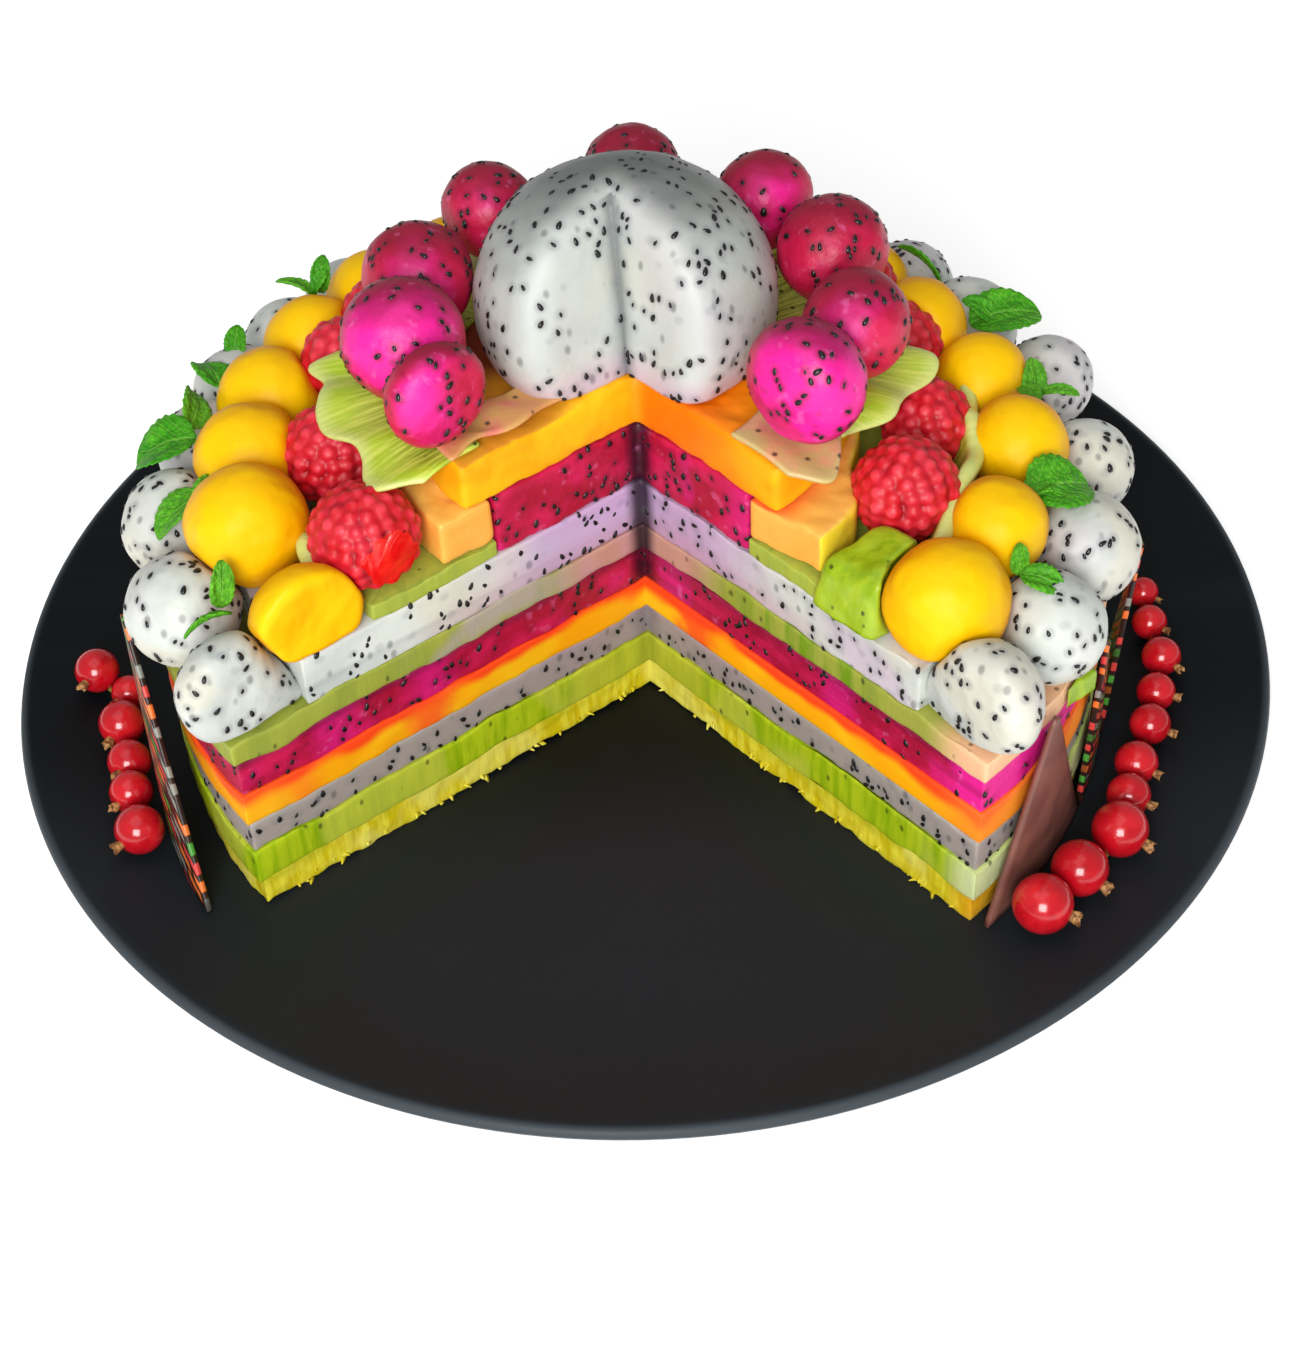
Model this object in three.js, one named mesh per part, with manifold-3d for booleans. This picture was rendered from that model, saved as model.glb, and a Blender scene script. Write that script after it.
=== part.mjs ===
// A cake built only of fruit, on its black plate, with a wedge cut out of it.
// Sliced fruit lies in layers, balls of fruit ring each step, and half a dragon fruit tops it.
// Millimetres, +Z up; the origin is under the plate's centre and the wedge opens towards -Y.

import * as THREE from 'three';
import { mergeVertices } from 'three/addons/utils/BufferGeometryUtils.js';
import Module from 'manifold-3d';

const wasm = await Module();
wasm.setup();

// ---------------------------------------------------------------- driving dimensions

const GAP = 0.3; // left between pieces that touch
const PLATE = {
  radius: 135,
  floor: 7,
  rim: 12,
  rise: 28,
  halfRise: 0.4, // part of the rise that is reached half way out
  thickness: 4.4,
  edge: 2,
  foot: 85,
  footWidth: 6, // of its lowest face; its two flanks widen upwards
  footFlanks: [1.5, 3],
  bellyRise: 0.6, // of the underside where the rim starts
  roundEdge: 0.3, // part of the edge that its chamfer leaves
};
const CAKE = new THREE.Vector2(-1.5, -12.5); // axis of the layers and of the two outer rings
const CROWN = new THREE.Vector2(0, -4); // axis of the topmost ring
const TOP_LAYER = new THREE.Vector2(0, -7); // axis of the mango under it
const WEDGE = { apex: new THREE.Vector2(1.2, -13.9), left: 216.7, right: 310 }; // cut directions

// Whole layers from the plate up: fruit, thickness, radius, and how far the cut face is set back.
const STACK = [
  ['pineapple', 7.0, 95.8, 0.9],
  ['kiwi_low', 8.1, 96.8, 0],
  ['white_dragon_low', 7.2, 96.2, 0.7],
  ['mango_low', 7.5, 96.9, 0.1],
  ['red_dragon_low', 8.7, 96.4, 0.5],
  ['kiwi_mid', 5.4, 97.2, 0],
  ['white_dragon_mid', 10.7, 79.6, 0.3],
];
const KIWI_LEDGE = { inner: 33.9, outer: 63.2, thickness: 3.7 };
const MELON = { inner: 33.9, outer: 46.4, thickness: 10.6 };
const RED_CORE = { outer: 33.4, thickness: 14.6 };
const MANGO_TOP = { outer: 45.2, thickness: 11 };

// Balls of a ring: azimuth about its axis, distance from it, radius, and for some how much is
// cut off underneath. A back run is evenly spaced and touches; it may draw in along its way.
const WHITE_RING = {
  front: [
    [217.9, 92, 12.9],
    [201.4, 92, 11.3],
    [185.4, 89.6, 11.3],
    [312.4, 92, 12.3],
    [327.6, 92, 10.8],
    [342.5, 92, 10.8],
    [358.7, 92, 9.8],
    [16.9, 92.8, 9.6],
  ],
  back: { from: 32, to: 169.5, count: 12, distances: [88, 87], radius: 10.5 },
};
const MANGO_RING = {
  front: [
    [219, 76.5, 12.8, 7],
    [197.8, 76.5, 12],
    [182, 73.6, 11.6],
    [166.5, 73.2, 11],
    [319.4, 76.5, 12, 4.4],
    [335.1, 76.5, 10],
    [354, 77, 10],
    [10.8, 73.9, 9.6],
  ],
  back: { from: 27, to: 151, count: 9, distances: [68.5, 72.5], radius: 10.7 },
};
const PINK_RING = [
  // azimuth, distance, radius
  [225.7, 47.6, 12],
  [197.2, 44.2, 12.1],
  [168, 41.2, 10.9],
  [129.3, 42.2, 9.8],
  [86.8, 44.4, 10],
  [47.5, 42.6, 10.1],
  [15.6, 42.6, 11],
  [343, 45.2, 10.6],
  [313.6, 45.2, 12.2],
];
const PINK_SEAT = 2; // height above the mango, over the kiwi slices between
const DOME = { centre: new THREE.Vector3(0, 0, 99.5), radius: 29.7, height: 27.2 };

// Raspberries: azimuth about the cake's axis, distance, radius. Those behind ride up on the mango.
const RASPBERRIES = {
  front: [
    [211, 58.2, 11.2],
    [184.4, 57.6, 10.8],
    [335.8, 58.2, 11],
    [357.8, 59.6, 9.6],
    [22.5, 60.6, 10.2],
  ],
  back: { from: 39, to: 158.5, count: 9, distances: [62.5, 60], radius: 9.2 },
  lift: 4,
  flattening: 0.94,
  taper: 0.1,
};
const DRUPELETS = { around: 7, along: 8, relief: 0.55 };

// Thin kiwi slices that droop over the raspberries: azimuths and the outer edge's distances.
const SLICE = {
  inner: 38,
  thickness: 1.1,
  clearance: 0.4,
  ruffle: 1.3,
  ruffleRise: 0.4, // height of a ruffle for each millimetre it reaches out
  waves: 3,
  droop: 3.4,
  droopStart: 0.6, // part of the way out where it begins to droop
};
const SLICES = {
  kiwi_slice_left: { from: 165, to: 212, edge: [61, 58, 54] },
  kiwi_slice_right: { from: 318, to: 364, edge: [50, 52, 61] },
};
const LEDGE_KIWI = { from: 313.6, to: 321.5, inner: 52, outer: 63.2, thickness: 8.4 };
const CORNER_KIWI = { azimuth: 328.5, tip: 330.8, inner: 97.6, outer: 101, width: 11, thickness: 6.6 };

// Mint leaves: where the middle lies, heading, downward tilt, length and width.
const MINT = {
  mint_left: { middle: [-93.6, -10.5, 77.2], heading: 178, tilt: 18, length: 13, width: 12 },
  mint_right_back: { middle: [80.5, 20, 76], heading: 14, tilt: 8, length: 15, width: 11 },
  mint_right_front: { middle: [83.4, -36.5, 78.4], heading: 20, tilt: 16, length: 14, width: 11 },
};
const LEAF = { thickness: 0.8, arch: 1.4, fold: 0.12, crinkle: 0.35, root: 0.06, bluntness: 0.7 };

// Chocolate sails that stand on the plate: foot from and to, as azimuth and distance, then tip.
const SAILS = {
  chocolate_left: { from: [196, 104], to: [215.4, 107], tip: [196.8, 103.5], height: 60 },
  chocolate_right_front: { from: [311.6, 99.6], to: [333.6, 98.9], tip: [321.6, 100], height: 52 },
  chocolate_right_middle: { from: [334.4, 98.9], to: [345.5, 99.2], tip: [336, 100.4], height: 51 },
  chocolate_right_back: { from: [347, 99.6], to: [356, 99.6], tip: [350.4, 103.4], height: 55 },
};
const SAIL = { thickness: 1.1, tipWidth: 1.2 };

// Redcurrants of each sprig, in order along its stem: x, y, radius.
const SPRIGS = {
  redcurrants_left: [
    [-118, -8.1, 4.8],
    [-110.8, -13.5, 3.8],
    [-110.9, -24.2, 4.9],
    [-108, -35.4, 4.6],
    [-106.6, -44.4, 4.5],
    [-103.4, -56, 5.1],
  ],
  redcurrants_right: [
    [110.6, 3.6, 3.4],
    [110.2, -6.5, 3.8],
    [110.6, -18, 4.2],
    [107.6, -28.5, 4.1],
    [104.6, -38.2, 4.3],
    [99.8, -49.2, 4.5],
    [96.6, -58.4, 4.5],
    [92.9, -69, 5.7],
    [83.4, -78.6, 5.7],
    [74.8, -87.6, 6],
  ],
};
const STEM_RADIUS = 0.7;

const LOOKS = {
  glaze: { color: 0x17191a, roughness: 0.3, metalness: 0 },
  pineapple: { color: 0xd8c95a, roughness: 0.35, metalness: 0 },
  kiwi: { color: 0xa9bf3c, roughness: 0.3, metalness: 0 },
  whiteDragon: { color: 0xd9dad8, roughness: 0.35, metalness: 0 },
  redDragon: { color: 0xd81e6a, roughness: 0.3, metalness: 0 },
  mango: { color: 0xf7b90b, roughness: 0.35, metalness: 0 },
  melon: { color: 0xf4ba55, roughness: 0.35, metalness: 0 },
  raspberry: { color: 0xd2263a, roughness: 0.4, metalness: 0 },
  redcurrant: { color: 0xcf1322, roughness: 0.12, metalness: 0 },
  mint: { color: 0x4fb32c, roughness: 0.5, metalness: 0 },
  chocolate: { color: 0x5c3a33, roughness: 0.3, metalness: 0 },
};
const FRUIT_LOOK = {
  pineapple: LOOKS.pineapple,
  kiwi_low: LOOKS.kiwi,
  white_dragon_low: LOOKS.whiteDragon,
  mango_low: LOOKS.mango,
  red_dragon_low: LOOKS.redDragon,
  kiwi_mid: LOOKS.kiwi,
  white_dragon_mid: LOOKS.whiteDragon,
};

// Fineness of the round pieces: facets of a ball in view, of one at the back, and of an arc.
const FINE = 2;
const COARSE = 1;
const ARC_STEP = 10;
const ROUND_STEPS = 36;
const FINE_FRONT = -21; // pieces whose middle lies nearer than this Y have the fine facets

// ---------------------------------------------------------------- geometry helpers

const { degToRad, lerp } = THREE.MathUtils;

function polar(centre, azimuth, distance, z = 0) {
  const angle = degToRad(azimuth);
  return new THREE.Vector3(centre.x + distance * Math.cos(angle), centre.y + distance * Math.sin(angle), z);
}

function toSolid(geometry) {
  const bare = geometry.index ? geometry.toNonIndexed() : geometry.clone();
  bare.deleteAttribute('normal');
  bare.deleteAttribute('uv');
  const merged = mergeVertices(bare, 1e-4);
  return new wasm.Manifold(new wasm.Mesh({
    numProp: 3,
    vertProperties: new Float32Array(merged.attributes.position.array),
    triVerts: new Uint32Array(merged.index.array),
  }));
}

function toGeometry(solid) {
  const mesh = solid.getMesh();
  const geometry = new THREE.BufferGeometry();
  geometry.setAttribute('position', new THREE.BufferAttribute(new Float32Array(mesh.vertProperties), 3));
  geometry.setIndex(Array.from(mesh.triVerts));
  geometry.computeVertexNormals();
  return geometry;
}

function prism(outline, bottom, top) {
  const shape = new THREE.Shape(outline.map((point) => new THREE.Vector2(point.x, point.y)));
  const geometry = new THREE.ExtrudeGeometry(shape, { depth: top - bottom, bevelEnabled: false });
  return geometry.translate(0, 0, bottom);
}

// A closed thin solid over a grid: surface(u, v) is its upper face, offset(u, v) leads to the lower.
function sheet(surface, offset, across, along) {
  const positions = [];
  const faces = [];
  const row = across + 1;
  const side = row * (along + 1);
  for (const lower of [false, true]) {
    for (let j = 0; j <= along; j += 1) {
      for (let i = 0; i <= across; i += 1) {
        const point = surface(i / across, j / along);
        if (lower) point.add(offset(i / across, j / along));
        positions.push(point.x, point.y, point.z);
      }
    }
  }
  const quad = (a, b, c, d) => faces.push(a, b, c, a, c, d);
  for (let j = 0; j < along; j += 1) {
    for (let i = 0; i < across; i += 1) {
      const a = j * row + i;
      quad(a, a + 1, a + 1 + row, a + row);
      faces.push(a + side, a + side + row + 1, a + side + 1);
      faces.push(a + side, a + side + row, a + side + row + 1);
    }
  }
  for (let i = 0; i < across; i += 1) {
    const far = along * row + i;
    quad(i, i + side, i + 1 + side, i + 1);
    quad(far, far + 1, far + 1 + side, far + side);
  }
  for (let j = 0; j < along; j += 1) {
    const near = j * row;
    const far = near + across;
    quad(near, near + row, near + row + side, near + side);
    quad(far, far + side, far + side + row, far + row);
  }
  const geometry = new THREE.BufferGeometry();
  geometry.setAttribute('position', new THREE.Float32BufferAttribute(positions, 3));
  geometry.setIndex(faces);
  geometry.computeVertexNormals();
  return geometry;
}

// ---------------------------------------------------------------- the wedge that is cut out

const leftCut = polar({ x: 0, y: 0 }, WEDGE.left, 1);
const rightCut = polar({ x: 0, y: 0 }, WEDGE.right, 1);
const outOfWedge = leftCut.clone().add(rightCut).normalize();

// The point of a cut line, set back into the cake, where it meets a circle about centre.
function cutPoint(direction, setBack, centre, radius) {
  const apex = apexSetBack(setBack);
  const from = new THREE.Vector2(apex.x - centre.x, apex.y - centre.y);
  const along = from.x * direction.x + from.y * direction.y;
  const reach = Math.sqrt(along * along - from.lengthSq() + radius * radius) - along;
  return new THREE.Vector2(apex.x + direction.x * reach, apex.y + direction.y * reach);
}

function apexSetBack(setBack) {
  return new THREE.Vector2(WEDGE.apex.x - outOfWedge.x * setBack, WEDGE.apex.y - outOfWedge.y * setBack);
}

const wedgeReach = 2 * PLATE.radius;
const wedgeSolid = toSolid(prism([
  WEDGE.apex,
  new THREE.Vector2(WEDGE.apex.x + leftCut.x * wedgeReach, WEDGE.apex.y + leftCut.y * wedgeReach),
  new THREE.Vector2(WEDGE.apex.x + rightCut.x * wedgeReach, WEDGE.apex.y + rightCut.y * wedgeReach),
], 0, wedgeReach));

// Counter-clockwise arc about centre between two points on it, both included.
function arc(centre, start, end) {
  const from = Math.atan2(start.y - centre.y, start.x - centre.x);
  let to = Math.atan2(end.y - centre.y, end.x - centre.x);
  if (to < from) to += 2 * Math.PI;
  const radius = start.distanceTo(centre);
  const steps = Math.max(2, Math.round((to - from) / degToRad(ARC_STEP)));
  const points = [];
  for (let step = 0; step <= steps; step += 1) {
    const angle = lerp(from, to, step / steps);
    points.push(new THREE.Vector2(centre.x + radius * Math.cos(angle), centre.y + radius * Math.sin(angle)));
  }
  return points;
}

// A layer of the cake with the wedge missing; with an inner radius it is a ring.
function layer(centre, inner, outer, bottom, top, setBack) {
  const rim = arc(
    centre,
    cutPoint(rightCut, setBack, centre, outer),
    cutPoint(leftCut, setBack, centre, outer),
  );
  if (inner === 0) return prism([apexSetBack(setBack), ...rim], bottom, top);
  const bore = arc(
    centre,
    cutPoint(rightCut, setBack, centre, inner),
    cutPoint(leftCut, setBack, centre, inner),
  );
  return prism([...rim, ...bore.reverse()], bottom, top);
}

// ---------------------------------------------------------------- round fruit

const round = []; // every ball and berry, so that each can be pressed flat against its neighbours

function fineness(centre) {
  return centre.y < FINE_FRONT ? FINE : COARSE;
}

function ball(centre, radius) {
  const item = { centre, radius, geometry: new THREE.IcosahedronGeometry(radius, fineness(centre)) };
  item.geometry.translate(centre.x, centre.y, centre.z);
  round.push(item);
  return item;
}

// A raspberry: an egg with its point up, covered in drupelets as the product of two waves.
function raspberry(centre, radius, detail) {
  const geometry = detail === FINE
    ? new THREE.SphereGeometry(1, 2 * DRUPELETS.around, DRUPELETS.along).rotateX(Math.PI / 2)
    : new THREE.IcosahedronGeometry(1, detail);
  const position = geometry.attributes.position;
  const point = new THREE.Vector3();
  for (let index = 0; index < position.count; index += 1) {
    point.fromBufferAttribute(position, index);
    const azimuth = Math.atan2(point.y, point.x);
    const polarAngle = Math.acos(THREE.MathUtils.clamp(point.z, -1, 1));
    const belt = Math.sin(polarAngle);
    const bump = Math.cos(DRUPELETS.around * azimuth) * Math.cos(DRUPELETS.along * polarAngle) * belt;
    const relief = detail === FINE ? DRUPELETS.relief * bump : 0;
    const taper = 1 - RASPBERRIES.taper * point.z;
    const reach = radius - DRUPELETS.relief + relief;
    position.setXYZ(
      index,
      centre.x + point.x * reach * taper,
      centre.y + point.y * reach * taper,
      centre.z + point.z * reach * RASPBERRIES.flattening,
    );
  }
  const item = { centre, radius, geometry };
  round.push(item);
  return item;
}

// The solid of a round piece: flat where it presses on another, and cut where the wedge was.
function pressed(item, family = [item]) {
  let solid = toSolid(item.geometry);
  for (const other of round) {
    const between = other.centre.clone().sub(item.centre);
    const distance = between.length();
    if (family.includes(other) || distance >= item.radius + other.radius + GAP) continue;
    const facet = (distance ** 2 + item.radius ** 2 - other.radius ** 2) / (2 * distance) - GAP / 2;
    const slab = new THREE.BoxGeometry(4 * item.radius, 4 * item.radius, 2 * item.radius);
    slab.translate(0, 0, facet + item.radius);
    slab.applyQuaternion(new THREE.Quaternion().setFromUnitVectors(
      new THREE.Vector3(0, 0, 1),
      between.normalize(),
    ));
    slab.translate(item.centre.x, item.centre.y, item.centre.z);
    solid = solid.subtract(toSolid(slab));
  }
  if (item.seat > item.centre.z - item.radius) {
    const below = new THREE.BoxGeometry(4 * item.radius, 4 * item.radius, 2 * item.radius);
    below.translate(item.centre.x, item.centre.y, item.seat - item.radius);
    solid = solid.subtract(toSolid(below));
  }
  return solid.subtract(wedgeSolid);
}

function joined(items) {
  return items.map((item) => pressed(item, items)).reduce((all, solid) => all.add(solid));
}

function evenRun({ from, to, count, distances }, make) {
  const items = [];
  for (let index = 0; index < count; index += 1) {
    const share = index / (count - 1);
    items.push(make(lerp(from, to, share), lerp(...distances, share)));
  }
  return items;
}

// ---------------------------------------------------------------- the object

const cake = new THREE.Group();

function addPiece(name, geometry, look) {
  const piece = new THREE.Mesh(geometry, new THREE.MeshStandardMaterial(look));
  piece.name = name;
  cake.add(piece);
}

// Height of the plate's upper face at a distance from its centre.
function plateTop(distance) {
  const { radius, floor, rim, rise, edge, halfRise } = PLATE;
  const start = radius - rise;
  const half = radius - rise / 2;
  const middle = lerp(floor, rim, halfRise);
  if (distance <= start) return floor;
  if (distance <= half) return lerp(floor, middle, (distance - start) / (half - start));
  return lerp(middle, rim, (distance - half) / (radius - edge - half));
}

function addPlate() {
  const { radius, floor, rim, rise, foot, footWidth, edge, thickness } = PLATE;
  const { footFlanks, bellyRise, roundEdge } = PLATE;
  const belly = floor - thickness;
  const outline = [
    [0, belly],
    [foot - footWidth / 2 - footFlanks[0], belly],
    [foot - footWidth / 2, 0],
    [foot + footWidth / 2, 0],
    [foot + footWidth / 2 + footFlanks[1], belly],
    [radius - rise, belly + bellyRise],
    [radius - edge, rim - 2 * edge],
    [radius, rim - edge],
    [radius - edge * roundEdge, rim - edge * roundEdge],
    [radius - edge, rim],
    [radius - rise / 2, plateTop(radius - rise / 2)],
    [radius - rise, floor],
    [0, floor],
  ];
  const profile = outline.map(([x, z]) => new THREE.Vector2(x, z));
  addPiece('plate', new THREE.LatheGeometry(profile, ROUND_STEPS).rotateX(Math.PI / 2), LOOKS.glaze);
}

// Adds the whole layers and returns the height of each one's top face by its fruit.
function addStack() {
  const tops = {};
  let bottom = PLATE.floor + GAP;
  for (const [fruit, thickness, radius, setBack] of STACK) {
    const top = bottom + thickness;
    addPiece(`layer_${fruit}`, layer(CAKE, 0, radius, bottom, top, setBack), FRUIT_LOOK[fruit]);
    tops[fruit] = top;
    bottom = top + GAP;
  }
  return tops;
}

// Adds the ledge, the two pieces side by side on it and the mango over both; returns their tops.
function addUpperLayers(base) {
  const ledge = base + KIWI_LEDGE.thickness;
  const melon = ledge + GAP + MELON.thickness;
  const mangoBase = melon + GAP;
  const mango = mangoBase + MANGO_TOP.thickness;
  addPiece(
    'layer_kiwi_ledge',
    layer(CAKE, KIWI_LEDGE.inner, KIWI_LEDGE.outer, base, ledge, 0.4),
    LOOKS.kiwi,
  );
  addPiece(
    'layer_melon',
    layer(CAKE, MELON.inner, MELON.outer, ledge + GAP, melon, 0.2),
    LOOKS.melon,
  );
  addPiece(
    'layer_red_dragon_upper',
    layer(CAKE, 0, RED_CORE.outer, base, base + RED_CORE.thickness, 0.6),
    LOOKS.redDragon,
  );
  addPiece('layer_mango_upper', layer(TOP_LAYER, 0, MANGO_TOP.outer, mangoBase, mango, 0), LOOKS.mango);
  return { ledge, mango };
}

// Makes the balls of a ring that rests on a seat: those in front one by one, then the back run.
function ringOfBalls(ring, seat) {
  const at = (azimuth, distance, radius, cutOff = 0) => {
    const item = ball(polar(CAKE, azimuth, distance, seat + radius - cutOff), radius);
    return Object.assign(item, { seat });
  };
  return {
    front: ring.front.map((values) => at(...values)),
    back: evenRun(ring.back, (azimuth, distance) => at(azimuth, distance, ring.back.radius)),
  };
}

// Adds a ring; no ball of it may reach into the upright round core that it stands about.
function addRing(name, plural, { front, back }, look, core) {
  front.forEach((item, index) => {
    addPiece(`${name}_${index + 1}`, toGeometry(pressed(item).subtract(core)), look);
  });
  addPiece(`${plural}_back`, toGeometry(joined(back).subtract(core)), look);
}

// The room that a layer takes up, as a whole disc from the plate up, with the gap added.
function room(radius, top) {
  const disc = new THREE.CylinderGeometry(radius + GAP, radius + GAP, top + GAP, 2 * ROUND_STEPS);
  disc.rotateX(Math.PI / 2).translate(CAKE.x, CAKE.y, (top + GAP) / 2);
  return toSolid(disc);
}

function ringOfRaspberries(seat) {
  const { front, back, lift, flattening } = RASPBERRIES;
  const at = (azimuth, distance, radius, detail, height = seat) => raspberry(
    polar(CAKE, azimuth, distance, height + radius * flattening),
    radius,
    detail,
  );
  return {
    front: front.map(([azimuth, distance, radius]) => at(azimuth, distance, radius, FINE)),
    back: evenRun(back, (azimuth, distance) => at(azimuth, distance, back.radius, COARSE, seat + lift)),
  };
}

function addDome(base) {
  const { centre, radius, height } = DOME;
  const dome = new THREE.SphereGeometry(1, 20, 12).rotateX(Math.PI / 2);
  dome.scale(radius, radius, height).translate(centre.x, centre.y, centre.z);
  const below = new THREE.BoxGeometry(4 * radius, 4 * radius, 4 * height);
  below.translate(centre.x, centre.y, base - 2 * height);
  const solid = toSolid(dome).subtract(toSolid(below)).subtract(wedgeSolid);
  addPiece('dome_white_dragon', toGeometry(solid), LOOKS.whiteDragon);
}

function addKiwiSlices(base) {
  for (const [name, { from, to, edge }] of Object.entries(SLICES)) {
    const rim = new THREE.SplineCurve(edge.map((distance, index) => new THREE.Vector2(index, distance)));
    const surface = (u, v) => {
      const reach = lerp(SLICE.inner, rim.getPoint(v).y, u);
      const ruffle = SLICE.ruffle * Math.sin(2 * Math.PI * SLICE.waves * v) * u ** 3;
      const droop = SLICE.droop * Math.max(0, u - SLICE.droopStart);
      const height = base + SLICE.thickness + SLICE.clearance - droop + ruffle * SLICE.ruffleRise;
      return polar(CAKE, lerp(from, to, v), reach + ruffle, height);
    };
    const down = () => new THREE.Vector3(0, 0, -SLICE.thickness);
    addPiece(name, sheet(surface, down, 3, 10), LOOKS.kiwi);
  }
}

// A block of kiwi bent round the cake's axis.
function bentBlock({ from, to, inner, outer, thickness }, bottom) {
  const steps = 4;
  const outline = [];
  for (let step = 0; step <= steps; step += 1) {
    outline.push(polar(CAKE, lerp(from, to, step / steps), outer));
  }
  for (let step = steps; step >= 0; step -= 1) {
    outline.push(polar(CAKE, lerp(from, to, step / steps), inner));
  }
  return prism(outline, bottom, bottom + thickness);
}

// A wedge of kiwi whose corner peeps out from under the white balls.
function cornerKiwi({ azimuth, tip, inner, outer, width, thickness }, top) {
  const half = THREE.MathUtils.radToDeg(width / 2 / inner);
  return prism([
    polar(CAKE, azimuth - half, inner),
    polar(CAKE, tip, outer),
    polar(CAKE, azimuth + half, inner),
  ], top - thickness, top);
}

function addMint() {
  for (const [name, leaf] of Object.entries(MINT)) {
    const spread = (v) => lerp(LEAF.root, 1, Math.sin(Math.PI * v ** 0.8) ** LEAF.bluntness);
    const surface = (u, v) => {
      const side = (0.5 - u) * leaf.width * spread(v);
      const crinkle = LEAF.crinkle * Math.sin(4 * Math.PI * v) * Math.abs(2 * u - 1);
      const arch = LEAF.arch * (2 * v - 1) ** 2;
      return new THREE.Vector3((v - 0.5) * leaf.length, side, LEAF.fold * Math.abs(side) + crinkle - arch);
    };
    const geometry = sheet(surface, () => new THREE.Vector3(0, 0, -LEAF.thickness), 4, 4);
    geometry.rotateY(degToRad(leaf.tilt)).rotateZ(degToRad(leaf.heading));
    addPiece(name, geometry.translate(...leaf.middle), LOOKS.mint);
  }
}

// A point moved up to just above the plate.
function standing(point) {
  return point.setZ(plateTop(Math.hypot(point.x, point.y)) + GAP);
}

function addSails() {
  for (const [name, { from, to, tip, height }] of Object.entries(SAILS)) {
    const top = polar(CAKE, tip[0], tip[1], height);
    const start = standing(polar(CAKE, ...from));
    const end = standing(polar(CAKE, ...to));
    const halfTip = end.clone().sub(start).setZ(0).setLength(SAIL.tipWidth / 2);
    const surface = (u, v) => {
      const foot = polar(CAKE, lerp(from[0], to[0], u), lerp(from[1], to[1], u));
      const narrow = top.clone().addScaledVector(halfTip, 2 * u - 1);
      return standing(foot).lerp(narrow, v);
    };
    const inward = polar({ x: 0, y: 0 }, tip[0] + 180, SAIL.thickness);
    addPiece(name, sheet(surface, () => inward, 3, 4), LOOKS.chocolate);
  }
}

function addSprigs() {
  for (const [name, berries] of Object.entries(SPRIGS)) {
    const seat = (x, y) => standing(new THREE.Vector3(x, y, 0)).z + GAP;
    const path = new THREE.CatmullRomCurve3(
      berries.map(([x, y]) => new THREE.Vector3(x, y, seat(x, y) + 2 * STEM_RADIUS)),
    );
    const section = new THREE.Shape().absarc(0, 0, STEM_RADIUS, 0, 2 * Math.PI);
    const stem = new THREE.ExtrudeGeometry(section, {
      steps: berries.length,
      curveSegments: 2,
      extrudePath: path,
    });
    const solids = berries.map(([x, y, radius]) => {
      const berry = new THREE.IcosahedronGeometry(radius, COARSE);
      return toSolid(berry.translate(x, y, seat(x, y) + radius));
    });
    const sprig = solids.reduce((all, solid) => all.add(solid), toSolid(stem));
    addPiece(name, toGeometry(sprig), LOOKS.redcurrant);
  }
}

addPlate();
const tops = addStack();
const upper = addUpperLayers(tops.white_dragon_mid + GAP);

const whiteBalls = ringOfBalls(WHITE_RING, tops.kiwi_mid + GAP);
const mangoBalls = ringOfBalls(MANGO_RING, tops.white_dragon_mid + GAP);
const raspberries = ringOfRaspberries(upper.ledge + GAP);
const pinkBalls = PINK_RING.map(([azimuth, distance, radius]) => ball(
  polar(CROWN, azimuth, distance, upper.mango + PINK_SEAT + radius),
  radius,
));
const [, , middleRadius] = STACK.at(-1);
const middle = room(middleRadius, tops.white_dragon_mid);
const ledge = room(KIWI_LEDGE.outer, upper.ledge);
const melon = room(MELON.outer, upper.ledge + GAP + MELON.thickness);
addRing('white_ball', 'white_balls', whiteBalls, LOOKS.whiteDragon, middle);
addRing('mango_ball', 'mango_balls', mangoBalls, LOOKS.mango, ledge);
addRing('raspberry', 'raspberries', raspberries, LOOKS.raspberry, melon);
pinkBalls.forEach((item, index) => {
  addPiece(`pink_ball_${index + 1}`, toGeometry(pressed(item)), LOOKS.redDragon);
});

addDome(upper.mango + GAP);
addKiwiSlices(upper.mango + GAP);
addPiece('kiwi_on_ledge', bentBlock(LEDGE_KIWI, upper.ledge + GAP), LOOKS.kiwi);
addPiece('kiwi_corner', cornerKiwi(CORNER_KIWI, tops.kiwi_mid), LOOKS.kiwi);
addMint();
addSails();
addSprigs();

export default cake;
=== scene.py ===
"""The looks of a fruit dome cake on its black plate, laid out as a Blender add-on and run as a script.

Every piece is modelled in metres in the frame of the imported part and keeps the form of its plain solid.
"""

import math
import random

import bmesh
import bpy
import numpy as np
from mathutils import Matrix, Vector, kdtree


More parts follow.
